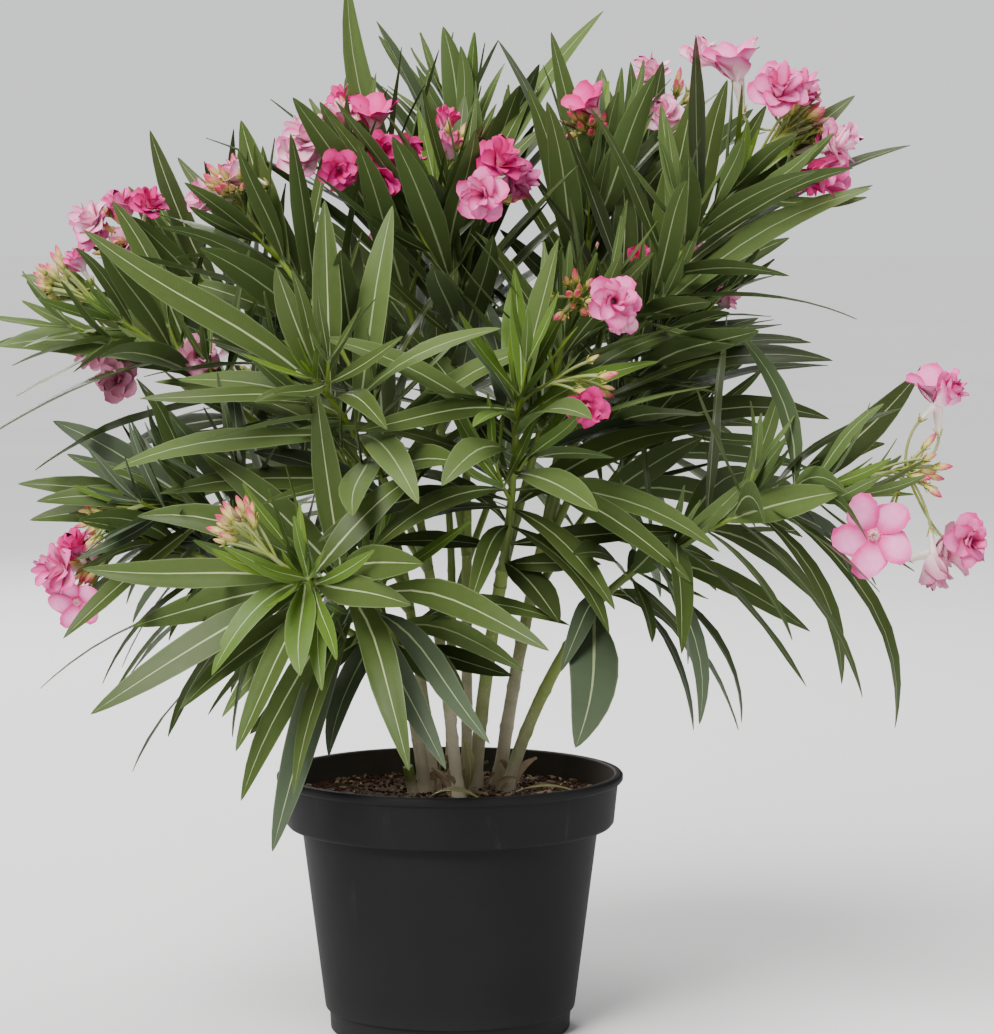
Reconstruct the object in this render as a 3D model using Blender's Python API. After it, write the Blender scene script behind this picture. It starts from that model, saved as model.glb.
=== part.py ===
"""A potted oleander: a nursery pot of potting mix, eight canes that rise from it, and the boughs that leave
the canes. Each bough carries a mass of foliage: whorls of lance-shaped leaves and heads of funnel-shaped blossom."""

import math
import random
from collections import Counter, namedtuple

import bmesh
import bpy
from mathutils import Quaternion, Vector
from mathutils.bvhtree import BVHTree

MM = 0.001
UP = Vector((0, 0, 1))
UPRIGHT = 0.05  # the sine of the lean under which a direction counts as upright
GAP = 0.3 * MM  # left between pieces that touch
MERGE_DISTANCE = 0.0005 * MM
SHARP_ANGLE = 65  # round pieces are smooth across edges flatter than this

# Nursery pot: a tapering body under a wider collar with a rolled lip
POT_HEIGHT = 157 * MM
RIM_RADIUS = 105 * MM
LIP_HEIGHT = 5 * MM
LIP_STAND_OUT = 3 * MM
LIP_ROUNDING = 0.75 * MM
LIP_CREST_DROP = 2 * MM
COLLAR_HEIGHT = 32 * MM
COLLAR_FOOT_RADIUS = 99.5 * MM
BODY_TOP_RADIUS = 90 * MM
BASE_RADIUS = 75 * MM
BASE_CHAMFER = 3 * MM
POT_WALL = 2.5 * MM
POT_FLOOR = 3 * MM
POT_SIDES = 40
DRAIN_HOLES = 6
DRAIN_RADIUS = 6 * MM
DRAIN_RING_RADIUS = 52 * MM
DRAIN_SIDES = 10

# Potting mix: flat under the canes, a little lower against the wall
SOIL_LEVEL = 147 * MM
SOIL_FLAT_RADIUS = 60 * MM
SOIL_EDGE_DROP = 4 * MM

# Canes and boughs
CANE_SIDES = 6
CANE_RINGS = 6
BOUGH_RINGS = 4
FOOT_FLARE = 1.35
FLARE_SHARE = 0.06
CANE_RISE = 0.45  # a cane sets off this share of its length upright
CANE_LEAN = 0.30  # and this share of its lean sideways
RUN_ON_SHARE = 0.35  # a shoot that carries its cane on keeps the cane's way for this share
SET_OFF_SHARE = 0.42  # a shoot from a cane's side bends at this share
CANE_PULL = 0.5  # and sets off this much along the cane
FORK_THINNING = 0.85
LONG_BARE_FOOT = 0.3  # a shoot in line with its cane has a bough where its bare foot is over this share
STEM_SIDES = 3
STEM_RINGS = 6
STEM_TIP_RADIUS = 1.5 * MM

# Leaves: three-cornered sections between two points, each at a share of the length with its share of the width
LEAF_WIDTH_SHARE = 0.155
WIDEST_LEAF = 18.5 * MM
LEAF_DEPTH_SHARE = 0.08  # of the leaf's width
PLACED_SECTIONS = ((0.32, 0.86), (0.66, 0.88))
WHORL_SECTIONS = ((0.46, 1.0),)
LEAVES_IN_WHORL = 3
WHORL_TURN = 60
AZIMUTH_PLAY = 16
OPENING_PLAY = 12
ROLL_PLAY = 0.35
LENGTH_PLAY = (0.85, 1.1)
FALL_PLAY = (0.4, 1.5)
LOWEST_LEAF_SHARE = 0.72
LENGTH_SWELL = 0.33
SWELL_PACE = 1.15
YOUNG_RISE = 0.8
YOUNG_LEAF_SHARE = 0.8
LEAF_BEND = 0.5
LAST_WHORL = 0.985
WHORL_CROWDING = 1.35
CLEARANCE = 0.5 * MM
ROOT_SHARE = 0.16
TURNS_TRIED = (0, 9, -9, 18, -18, 27, -27)
LIFTS_TRIED = (0, -10, 10)

# Blossom
PEDUNCLE_RADIUS = 1.3 * MM
PEDUNCLE_END_RADIUS = 2.8 * MM
STALK_RADIUS = 0.9 * MM
TUBE_RADIUS_SHARE = 0.13
NOTCH_SHARE = 0.62
NECK_SHARE = 0.3
THROAT_SHARE = 0.12
PETALS = 5
PEDUNCLE_RINGS = 3
PEDUNCLE_BEND = 0.5
BUD_LENGTH = 13 * MM
BUD_RADIUS = 2.6 * MM
BUD_MIDDLE = 0.45
BUD_REACH = 24 * MM
BUD_REACH_PLAY = (0.75, 1.25)
BUD_OPENING = 55
BUD_OPENING_PLAY = 8
BUD_TURN_PLAY = 20
GOLDEN_ANGLE = 137.5

Cane = namedtuple("Cane", "foot fork foot_radius fork_radius")
CANES = {
    "cane_left": Cane((-15, -10), (-30, -45, 235), 3.8, 3.2),
    "cane_back_left": Cane((-10, 5), (-30, 35, 280), 3.6, 3.0),
    "cane_mid_left": Cane((5, -25), (-15, -30, 300), 3.8, 3.0),
    "cane_centre": Cane((15, 10), (32, -44, 285), 4.2, 3.8),
    "cane_rear": Cane((10, 30), (10, 30, 315), 3.6, 3.0),
    "cane_right": Cane((35, 0), (80, -20, 250), 4.0, 3.4),
    "cane_mid_right": Cane((30, 25), (60, 10, 310), 4.2, 3.4),
    "cane_back": Cane((0, 45), (0, 85, 260), 3.6, 3.0),
}

# A shoot leaves its cane at a share of the cane's length. Its foot is bare, and whorls follow up to its tip.
# Leaf length in mm; the leaves open from the stem by angles in degrees, at the lowest and the highest whorl.
Shoot = namedtuple("Shoot", "cane at tip bare whorls leaf open_low open_high droop turn seed")
SHOOTS = {
    "front_left": Shoot("cane_left", 1.0, (-80, -150, 290), 0.12, 6, 130, 80, 50, 0.50, 75, 28),
    "mid_left": Shoot("cane_mid_left", 0.90, (-75, -110, 400), 0.30, 7, 130, 75, 40, 0.25, 100, 5),
    "centre": Shoot("cane_centre", 1.0, (40, -90, 385), 0.28, 8, 135, 80, 32, 0.30, 45, 22),
    "centre_high": Shoot("cane_centre", 0.92, (70, -60, 425), 0.50, 6, 115, 65, 28, 0.20, 35, 12),
    "top_right": Shoot("cane_mid_right", 1.0, (165, -60, 510), 0.45, 9, 125, 58, 25, 0.12, 55, 56),
    "right_low": Shoot("cane_right", 1.0, (220, -60, 335), 0.12, 9, 125, 80, 42, 0.45, 30, 55),
    "mid_left_tip": Shoot("cane_back_left", 0.80, (-165, -50, 325), 0.45, 7, 115, 65, 22, 0.15, 85, 14),
    "low_left": Shoot("cane_left", 0.85, (-175, -30, 300), 0.35, 8, 115, 75, 35, 0.45, 110, 15),
    "left_up": Shoot("cane_mid_left", 1.0, (-110, -20, 480), 0.38, 8, 120, 62, 28, 0.15, 105, 58),
    "far_left": Shoot("cane_back_left", 0.90, (-195, -10, 430), 0.40, 8, 130, 62, 30, 0.25, 40, 17),
    "top_mid": Shoot("cane_rear", 1.0, (-5, -10, 500), 0.40, 8, 125, 60, 22, 0.10, 105, 58),
    "right_mid": Shoot("cane_mid_right", 0.82, (130, -10, 430), 0.35, 8, 130, 68, 30, 0.20, 60, 13),
    "top_left": Shoot("cane_rear", 0.84, (-50, 20, 520), 0.38, 9, 125, 58, 20, 0.10, 90, 19),
    "top_mid_right": Shoot("cane_mid_right", 0.90, (90, 30, 520), 0.45, 9, 125, 52, 20, 0.08, 35, 60),
    "back_left": Shoot("cane_back_left", 1.0, (-170, 80, 460), 0.45, 7, 115, 60, 28, 0.15, 25, 50),
    "top_back": Shoot("cane_rear", 0.72, (10, 90, 545), 0.50, 8, 120, 55, 18, 0.10, 80, 33),
    "back_top_right": Shoot("cane_mid_right", 0.75, (125, 110, 525), 0.50, 8, 115, 58, 25, 0.15, 105, 58),
    "back_low_right": Shoot("cane_mid_right", 0.68, (135, 110, 365), 0.35, 8, 120, 70, 30, 0.25, 5, 6),
    "back_low_left": Shoot("cane_back", 0.85, (-95, 150, 360), 0.45, 8, 120, 70, 30, 0.25, 75, 52),
    "back_right": Shoot("cane_back", 0.86, (75, 160, 420), 0.45, 8, 120, 65, 28, 0.20, 60, 37),
    "back_centre": Shoot("cane_back", 1.0, (-20, 190, 440), 0.45, 8, 120, 65, 28, 0.20, 0, 25),
}

# The leaves that set the crown's outline are placed by their tips: the share of the shoot they leave at, the tip
# in mm, how far the blade bows as a share of its length, how far it is rolled, in degrees, and its width in mm.
PlacedLeaf = namedtuple("PlacedLeaf", "shoot at tip bow roll width")
PLACED_LEAVES = (
    PlacedLeaf("front_left", 0.97, (-205, -150, 295), 0.06, 0, 17),
    PlacedLeaf("front_left", 0.92, (-200, -165, 215), 0.10, 0, 18),
    PlacedLeaf("front_left", 0.99, (-80, -195, 240), 0.10, -20, 17),
    PlacedLeaf("front_left", 0.95, (-20, -200, 280), 0.15, 0, 19),
    PlacedLeaf("front_left", 0.60, (-100, -125, 130), 0.12, -20, 17),
    PlacedLeaf("front_left", 0.52, (0, -165, 185), 0.12, -20, 17),
    PlacedLeaf("front_left", 0.70, (-120, -100, 155), 0.10, 0, 17),
    PlacedLeaf("front_left", 0.80, (-150, -150, 215), 0.10, 0, 18),
    PlacedLeaf("front_left", 0.05, (70, -80, 254), 0.50, 0, 17),
    PlacedLeaf("front_left", 0.03, (37, -70, 224), 0.10, 0, 15),
    PlacedLeaf("front_left", 0.08, (9, -80, 215), 0.20, 20, 20),
    PlacedLeaf("front_left", 0.30, (-70, -110, 183), 0.15, 0, 17),
    PlacedLeaf("front_left", 0.96, (-15, -130, 350), 0.20, 0, 16),
    PlacedLeaf("low_left", 0.60, (-245, -40, 215), 0.15, 0, 18),
    PlacedLeaf("low_left", 0.45, (-195, -30, 165), 0.15, 0, 18),
    PlacedLeaf("mid_left_tip", 0.70, (-255, -50, 330), 0.10, 0, 18),
    PlacedLeaf("mid_left_tip", 0.50, (-160, -100, 380), 0.05, -30, 18),
    PlacedLeaf("far_left", 0.85, (-270, -10, 415), 0.15, -40, 20),
    PlacedLeaf("back_left", 0.85, (-190, 80, 545), 0.05, 70, 18),
    PlacedLeaf("left_up", 0.90, (-125, 0, 550), 0.03, 50, 18),
    PlacedLeaf("mid_left", 0.90, (-205, -130, 485), 0.06, -20, 17),
    PlacedLeaf("mid_left", 0.97, (-95, -140, 465), 0.04, 20, 18),
    PlacedLeaf("top_left", 0.75, (-70, 50, 635), 0.03, 60, 19),
    PlacedLeaf("top_back", 0.85, (95, 100, 620), 0.08, 60, 18),
    PlacedLeaf("top_back", 0.95, (-5, 90, 610), 0.02, 60, 18),
    PlacedLeaf("top_back", 0.90, (20, 80, 600), 0.02, 60, 18),
    PlacedLeaf("top_mid_right", 0.60, (35, 0, 600), 0.16, -60, 18),
    PlacedLeaf("top_right", 0.60, (240, -90, 510), 0.12, 60, 18),
    PlacedLeaf("top_right", 0.75, (270, -50, 535), 0.14, 0, 18),
    PlacedLeaf("right_mid", 0.80, (230, -10, 410), 0.10, 30, 18),
    PlacedLeaf("right_mid", 0.55, (230, 0, 375), 0.15, 30, 18),
    PlacedLeaf("centre", 0.97, (-51, -130, 372), 0.10, -30, 14),
    PlacedLeaf("centre", 0.66, (141, -105, 284), 0.14, 20, 16),
    PlacedLeaf("centre", 0.50, (-73, -125, 307), 0.26, 0, 19),
    PlacedLeaf("centre", 0.20, (137, -75, 309), 0.05, 30, 14),
    PlacedLeaf("centre", 0.15, (-40, -85, 306), 0.08, 0, 17),
    PlacedLeaf("centre", 0.06, (65, -90, 258), 0.15, 0, 20),
    PlacedLeaf("centre", 0.04, (88, -85, 293), 0.00, 20, 18),
    PlacedLeaf("centre", 0.95, (65, -120, 480), 0.04, 10, 18),
    PlacedLeaf("right_low", 0.10, (75, -140, 195), 0.10, 20, 26),
    PlacedLeaf("right_low", 0.33, (128, -58, 303), 0.00, 0, 18),
    PlacedLeaf("right_low", 0.32, (122, -50, 242), 0.10, 0, 18),
    PlacedLeaf("right_low", 0.45, (148, -60, 194), 0.20, 60, 12),
    PlacedLeaf("right_low", 0.25, (145, -20, 185), 0.25, 0, 14),
    PlacedLeaf("right_low", 0.35, (180, -20, 190), 0.25, 0, 14),
    PlacedLeaf("right_low", 0.92, (170, -50, 425), 0.25, 50, 18),
    PlacedLeaf("right_low", 0.88, (280, -30, 400), 0.08, -30, 18),
    PlacedLeaf("right_low", 0.85, (270, -50, 190), 0.28, 20, 16),
    PlacedLeaf("right_low", 0.80, (235, -40, 215), 0.25, 20, 16),
    PlacedLeaf("right_low", 0.70, (225, -100, 335), 0.12, 160, 18),
)

# A head of blossom stands on a peduncle that leaves its shoot near the tip. Buds are set round its middle.
Head = namedtuple("Head", "shoot at middle buds seed")
HEADS = {
    "head_back_left": Head("back_left", 0.97, (-200, 60, 480), 3, 1),
    "head_left_up": Head("left_up", 0.97, (-125, -30, 505), 4, 2),
    "head_top_left": Head("top_left", 0.97, (-60, 15, 540), 3, 3),
    "head_top_mid": Head("top_mid", 0.97, (0, -5, 530), 2, 4),
    "head_top_front": Head("top_mid", 0.85, (20, -25, 505), 2, 5),
    "head_top_mid_right": Head("top_mid_right", 0.97, (85, 10, 545), 4, 6),
    "head_back_top_right": Head("back_top_right", 0.97, (140, 95, 560), 2, 7),
    "head_top_right": Head("top_right", 0.97, (200, -60, 545), 5, 8),
    "head_right_mid": Head("right_mid", 0.97, (145, 5, 455), 2, 9),
    "head_centre_high": Head("centre_high", 0.97, (75, -90, 445), 4, 10),
    "head_centre": Head("centre", 0.92, (75, -105, 400), 2, 11),
    "head_right_low": Head("right_low", 0.97, (270, -65, 345), 4, 12),
    "head_low_left": Head("low_left", 0.95, (-210, -35, 290), 3, 13),
    "head_front_left": Head("front_left", 0.98, (-110, -165, 315), 6, 14),
    "head_far_left": Head("far_left", 0.97, (-230, -5, 450), 4, 15),
    "head_mid_left_tip": Head("mid_left_tip", 0.97, (-200, -50, 315), 3, 16),
    "head_back_centre": Head("back_centre", 0.97, (-25, 215, 470), 3, 17),
    "head_back_right": Head("back_right", 0.97, (90, 180, 455), 3, 18),
    "head_back_low_left": Head("back_low_left", 0.97, (-120, 175, 390), 3, 19),
}

# An open bloom: its head, the middle of its mouth in mm, the way it faces and its width in mm.
Bloom = namedtuple("Bloom", "head mouth faces width")
BLOOMS = (
    Bloom("head_right_low", (245, -105, 310), (-0.15, -1.0, 0.10), 52),
    Bloom("head_right_low", (285, -60, 400), (-0.10, -0.3, 1.00), 36),
    Bloom("head_right_low", (300, -70, 300), (0.60, -0.5, 0.20), 36),
    Bloom("head_right_low", (285, -75, 280), (0.10, -0.2, -1.00), 22),
    Bloom("head_top_right", (165, -60, 590), (-0.20, -0.3, 1.00), 38),
    Bloom("head_top_right", (190, -85, 565), (0.00, -0.8, 0.50), 38),
    Bloom("head_top_right", (220, -55, 535), (0.90, -0.4, 0.30), 32),
    Bloom("head_top_right", (210, -75, 515), (0.50, -0.6, -0.50), 26),
    Bloom("head_top_mid_right", (80, -5, 565), (-0.50, -0.5, 0.80), 30),
    Bloom("head_top_front", (30, -50, 525), (0.20, -0.7, 0.60), 34),
    Bloom("head_top_front", (20, -65, 505), (-0.30, -0.9, -0.10), 34),
    Bloom("head_top_mid", (0, 0, 555), (0.30, -0.3, 0.90), 16),
    Bloom("head_top_left", (-45, 0, 560), (0.00, -0.5, 0.90), 32),
    Bloom("head_top_left", (-85, 0, 540), (-0.60, -0.7, 0.40), 34),
    Bloom("head_top_left", (-40, -10, 530), (0.40, -0.9, 0.00), 30),
    Bloom("head_top_left", (-65, 25, 560), (-0.20, -0.4, 0.80), 26),
    Bloom("head_back_left", (-220, 50, 490), (-0.70, -0.6, 0.40), 30),
    Bloom("head_back_left", (-205, 60, 505), (-0.20, -0.4, 0.90), 22),
    Bloom("head_back_left", (-185, 50, 500), (0.30, -0.7, 0.70), 26),
    Bloom("head_left_up", (-150, -40, 505), (-0.90, -0.4, 0.10), 24),
    Bloom("head_back_top_right", (125, 90, 580), (-0.40, -0.4, 0.70), 30),
    Bloom("head_back_top_right", (155, 95, 590), (0.30, -0.3, 0.80), 30),
    Bloom("head_right_mid", (145, -10, 470), (0.10, -0.7, 0.70), 26),
    Bloom("head_centre_high", (95, -120, 445), (0.10, -1.0, 0.10), 33),
    Bloom("head_centre", (80, -120, 385), (0.10, -0.8, -0.40), 27),
    Bloom("head_low_left", (-230, -55, 285), (-0.70, -0.7, 0.00), 34),
    Bloom("head_low_left", (-220, -55, 265), (-0.20, -0.9, -0.30), 34),
    Bloom("head_low_left", (-222, -55, 303), (-0.30, -0.6, 0.70), 20),
    Bloom("head_far_left", (-215, 5, 410), (-0.60, -0.5, -0.30), 24),
    Bloom("head_back_centre", (-45, 235, 485), (-0.40, 0.6, 0.60), 34),
    Bloom("head_back_centre", (-10, 235, 490), (0.30, 0.7, 0.60), 32),
    Bloom("head_back_right", (110, 195, 475), (0.50, 0.5, 0.70), 34),
    Bloom("head_back_right", (85, 200, 465), (-0.10, 0.9, 0.30), 30),
    Bloom("head_back_low_left", (-140, 190, 405), (-0.50, 0.6, 0.50), 34),
)

Finish = namedtuple("Finish", "colour roughness")
POT_FINISH = Finish((0.012, 0.012, 0.013), 0.45)
SOIL_FINISH = Finish((0.045, 0.022, 0.012), 0.95)
CANE_FINISH = Finish((0.24, 0.20, 0.10), 0.8)
BOUGH_FINISH = Finish((0.20, 0.26, 0.08), 0.7)
FOLIAGE_FINISH = Finish((0.07, 0.13, 0.04), 0.6)


class Arc:
    """A bow from start to end that sets off from start towards bend."""

    def __init__(self, start, bend, end):
        self.start = start
        self.bend = bend
        self.end = end

    def point(self, share):
        return self.start.lerp(self.bend, share).lerp(self.bend.lerp(self.end, share), share)

    def way(self, share):
        return (self.bend.lerp(self.end, share) - self.start.lerp(self.bend, share)).normalized()


def in_mm(values):
    return Vector(values) * MM


def level_side(way):
    """A level direction square to way."""
    side = way.cross(UP)
    return side.normalized() if side.length > UPRIGHT else Vector((1, 0, 0))


def turned(vector, axis, angle):
    return Quaternion(axis, angle) @ vector


def new_object(name, mesh, finish):
    material = bpy.data.materials.new(name)
    material.use_nodes = True
    shader = material.node_tree.nodes["Principled BSDF"]
    shader.inputs["Base Color"].default_value = (*finish.colour, 1)
    shader.inputs["Roughness"].default_value = finish.roughness
    shader.inputs["Metallic"].default_value = 0
    mesh.materials.append(material)
    piece = bpy.data.objects.new(name, mesh)
    bpy.context.scene.collection.objects.link(piece)
    return piece


def new_mesh(name, shape):
    verts, faces = shape
    mesh = bpy.data.meshes.new(name)
    mesh.from_pydata(verts, [], faces)
    return mesh


def shade_round(mesh):
    mesh.shade_smooth()
    mesh.set_sharp_from_angle(angle=math.radians(SHARP_ANGLE))


def tube(points, ways, radii, sides, level_foot=False):
    """A limb: one ring of corners about each point, and a flat cap at both ends."""
    verts = []
    faces = []
    side = level_side(ways[0])
    for ring, (point, way, radius) in enumerate(zip(points, ways, radii)):
        side = (side - way * side.dot(way)).normalized()
        for corner in range(sides):
            spoke = turned(side, way, 2 * math.pi * corner / sides) * radius
            if level_foot and ring == 0:
                spoke.z = 0
            verts.append(point + spoke)
    for ring in range(len(points) - 1):
        for corner in range(sides):
            here = ring * sides + corner
            beside = ring * sides + (corner + 1) % sides
            faces.append((here, beside, beside + sides, here + sides))
    faces.append(tuple(reversed(range(sides))))
    last = (len(points) - 1) * sides
    faces.append(tuple(range(last, last + sides)))
    return verts, faces


def limb(arc, start, end, radius_at, rings, sides, level_foot=False):
    """The stretch of a limb's arc between two shares of it."""
    shares = [start + (end - start) * ring / (rings - 1) for ring in range(rings)]
    return tube(
        [arc.point(share) for share in shares],
        [arc.way(share) for share in shares],
        [radius_at(share) for share in shares],
        sides,
        level_foot,
    )


def cane_arc(cane):
    foot = Vector((cane.foot[0] * MM, cane.foot[1] * MM, SOIL_LEVEL + GAP))
    fork = in_mm(cane.fork)
    run = fork - foot
    lean = Vector((run.x, run.y, 0)) * CANE_LEAN
    return Arc(foot, foot + UP * run.length * CANE_RISE + lean, fork)


def cane_radius(cane, extra=0.0):
    """The radius along a cane, which flares at its foot."""

    def radius_at(share):
        flare = (FOOT_FLARE - 1) * max(0.0, 1 - share / FLARE_SHARE)
        taper = cane.foot_radius + (cane.fork_radius - cane.foot_radius) * share
        return taper * (1 + flare) * MM + extra

    return radius_at


def shoot_arc(shoot):
    """A shoot carries its cane on, or leaves the cane's side, on its way to the tip."""
    cane = cane_arc(CANES[shoot.cane])
    start = cane.point(shoot.at)
    tip = in_mm(shoot.tip)
    run = tip - start
    if shoot.at == 1.0:
        return Arc(start, start + cane.way(1.0) * run.length * RUN_ON_SHARE, tip)
    set_off = (cane.way(shoot.at) * CANE_PULL + run.normalized()).normalized()
    return Arc(start, start + set_off * run.length * SET_OFF_SHARE, tip)


def shoot_radius(shoot, extra=0.0):
    foot = CANES[shoot.cane].fork_radius * FORK_THINNING * MM
    return lambda share: foot + (STEM_TIP_RADIUS - foot) * share + extra


def has_bough(shoot):
    return shoot.at < 1.0 or shoot.bare > LONG_BARE_FOOT


def share_of_gap(arc):
    """The share of an arc that makes the gap between two pieces in line."""
    return GAP / (arc.end - arc.start).length


def leaf_shape(arc, face, roll, width, sections, grown=0.0, foot=0.0):
    """A leaf: a point at its root and its tip, and between them sections with two edges and a keel."""
    verts = [arc.point(foot)]
    for share, fullness in sections:
        way = arc.way(share)
        across = turned(way.cross(face).normalized(), way, roll)
        over = across.cross(way)
        half = width / 2 * fullness + grown
        middle = arc.point(share)
        verts.append(middle + across * half + over * grown)
        verts.append(middle - across * half + over * grown)
        verts.append(middle - over * (width * LEAF_DEPTH_SHARE + grown))
    verts.append(arc.point(1.0))
    tip = len(verts) - 1
    faces = [(0, 1, 2), (0, 2, 3), (0, 3, 1)]
    for first in range(1, tip - 3, 3):
        for near, far in ((0, 1), (1, 2), (2, 0)):
            faces.append((first + near, first + near + 3, first + far + 3, first + far))
    faces += [(tip - 3, tip, tip - 2), (tip - 2, tip, tip - 1), (tip - 1, tip, tip - 3)]
    return verts, faces


def bloom_shape(foot, mouth, faces_way, width):
    """A funnel with five petals: its foot in the head, a neck, the petals' ends and notches, and the throat."""
    way = in_mm(faces_way).normalized()
    side = level_side(way)
    neck = mouth - way * width * NECK_SHARE
    verts = [foot]
    for corner in range(PETALS):
        spoke = turned(side, way, 2 * math.pi * corner / PETALS)
        verts.append(neck + spoke * width * TUBE_RADIUS_SHARE)
    for corner in range(2 * PETALS):
        spoke = turned(side, way, math.pi * corner / PETALS)
        reach = 0.5 if corner % 2 == 0 else 0.5 * NOTCH_SHARE
        verts.append(mouth + spoke * width * reach)
    throat = len(verts)
    verts.append(mouth - way * width * THROAT_SHARE)
    faces = []
    for corner in range(PETALS):
        neck_here = 1 + corner
        neck_next = 1 + (corner + 1) % PETALS
        petal = 1 + PETALS + 2 * corner
        notch = petal + 1
        petal_next = 1 + PETALS + (2 * corner + 2) % (2 * PETALS)
        faces += [(0, neck_next, neck_here), (neck_here, notch, petal), (neck_here, neck_next, notch)]
        faces += [(neck_next, petal_next, notch), (petal, notch, throat), (notch, petal_next, throat)]
    return verts, faces


def bud_shape(start, end):
    """A bud on its stalk, which swells to the bud's middle and ends in a point."""
    way = (end - start).normalized()
    middle = end - way * BUD_LENGTH * BUD_MIDDLE
    verts, faces = tube([start, middle], [way] * 2, [STALK_RADIUS, BUD_RADIUS], STEM_SIDES)
    faces.pop()
    verts.append(end)
    faces += [(3, 4, 6), (4, 5, 6), (5, 3, 6)]
    return verts, faces


class Solid:
    """A closed shape that can be tested against others."""

    def __init__(self, shape):
        self.verts, self.faces = shape
        self.low = Vector(min(vert[axis] for vert in self.verts) for axis in range(3))
        self.high = Vector(max(vert[axis] for vert in self.verts) for axis in range(3))
        self.tree = None

    def surface(self):
        self.tree = self.tree or BVHTree.FromPolygons(self.verts, self.faces)
        return self.tree

    def touches(self, other):
        if any(self.low[axis] > other.high[axis] or self.high[axis] < other.low[axis] for axis in range(3)):
            return False
        return bool(self.surface().overlap(other.surface()))


class Crown:
    """What stands in the crown so far, so that a leaf that would touch it is turned or left out."""

    def __init__(self):
        self.taken = []

    def add(self, owner, shape, own_shape=None):
        """Other masses keep clear of shape, and the owner's next leaves of own_shape."""
        self.taken.append((owner, Solid(shape), Solid(own_shape or shape)))

    def clear(self, owner, shape, own_shape=None):
        """Whether shape is clear of other masses and limbs, and own_shape of the owner's own."""
        whole = Solid(shape)
        own = Solid(own_shape) if own_shape else None
        for other_owner, other, other_own in self.taken:
            if other_owner != owner and whole.touches(other):
                return False
            if other_owner == owner and own and own.touches(other_own):
                return False
        return True


def leaf_choices(root, tip_way, bend_way, axis, length):
    """The same leaf turned about its stem and lifted by small steps, the plain one first."""
    for lift in LIFTS_TRIED:
        for turn in TURNS_TRIED:
            spin = Quaternion(axis, math.radians(turn))
            hinge = axis.cross(bend_way).normalized()
            raised = Quaternion(hinge, math.radians(lift))
            tip = root + spin @ (raised @ tip_way) * length
            bend = root + spin @ (raised @ bend_way) * length
            yield Arc(root, bend, tip)


def grow_leaf(crown, name, choices, axis, roll, width, sections, shapes):
    """The first choice that is clear of the crown, added to the mass; none if all of them touch."""
    for arc in choices:
        chord = (arc.end - arc.start).normalized()
        face = (axis - chord * axis.dot(chord)).normalized()
        trial = leaf_shape(arc, face, roll, width, sections, CLEARANCE)
        beyond_root = leaf_shape(arc, face, roll, width, sections, 0.0, ROOT_SHARE)
        if crown.clear(name, trial, beyond_root):
            leaf = leaf_shape(arc, face, roll, width, sections)
            crown.add(name, leaf, beyond_root)
            shapes.append(leaf)
            return


def placed_leaves(crown, name, arc, shapes):
    for leaf in PLACED_LEAVES:
        if leaf.shoot != name:
            continue
        root = arc.point(leaf.at)
        axis = arc.way(leaf.at)
        run = in_mm(leaf.tip) - root
        chord = run.normalized()
        bow = (axis - chord * axis.dot(chord)).normalized() * leaf.bow
        choices = leaf_choices(root, chord, chord * LEAF_BEND + bow, axis, run.length)
        width = leaf.width * MM
        grow_leaf(crown, name, choices, axis, math.radians(leaf.roll), width, PLACED_SECTIONS, shapes)


def whorl_length(shoot, rise):
    """Leaves are longest at the shoot's middle and shortest at its tip."""
    swell = math.sin(math.pi * min(1.0, rise * SWELL_PACE))
    length = shoot.leaf * MM * (LOWEST_LEAF_SHARE + LENGTH_SWELL * swell)
    return length * YOUNG_LEAF_SHARE if rise > YOUNG_RISE else length


def whorled_leaves(crown, name, shoot, arc, shapes):
    dice = random.Random(shoot.seed)
    for whorl in range(shoot.whorls):
        rise = (whorl + 0.5) / shoot.whorls
        at = shoot.bare + (LAST_WHORL - shoot.bare) * (1 - (1 - rise) ** WHORL_CROWDING)
        root = arc.point(at)
        axis = arc.way(at)
        side = level_side(axis)
        opening = shoot.open_low + (shoot.open_high - shoot.open_low) * rise
        for leaf in range(LEAVES_IN_WHORL):
            azimuth = shoot.turn + WHORL_TURN * whorl + 360 / LEAVES_IN_WHORL * leaf
            azimuth = math.radians(azimuth + dice.uniform(-AZIMUTH_PLAY, AZIMUTH_PLAY))
            angle = math.radians(opening + dice.uniform(-OPENING_PLAY, OPENING_PLAY))
            out = turned(side, axis, azimuth)
            way = (axis * math.cos(angle) + out * math.sin(angle)).normalized()
            length = whorl_length(shoot, rise) * dice.uniform(*LENGTH_PLAY)
            fall = shoot.droop * dice.uniform(*FALL_PLAY)
            roll = dice.uniform(-ROLL_PLAY, ROLL_PLAY)
            tip_way = (way - UP * fall).normalized()
            choices = leaf_choices(root, tip_way, way * LEAF_BEND, axis, length)
            width = min(length * LEAF_WIDTH_SHARE, WIDEST_LEAF)
            grow_leaf(crown, name, choices, axis, roll, width, WHORL_SECTIONS, shapes)


def head_arc(head, shoot_line):
    start = shoot_line.point(head.at)
    middle = in_mm(head.middle)
    run = (middle - start).length
    return Arc(start, start + shoot_line.way(head.at) * run * PEDUNCLE_BEND, middle)


def peduncle_radius(share):
    return PEDUNCLE_RADIUS + (PEDUNCLE_END_RADIUS - PEDUNCLE_RADIUS) * share


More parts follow.
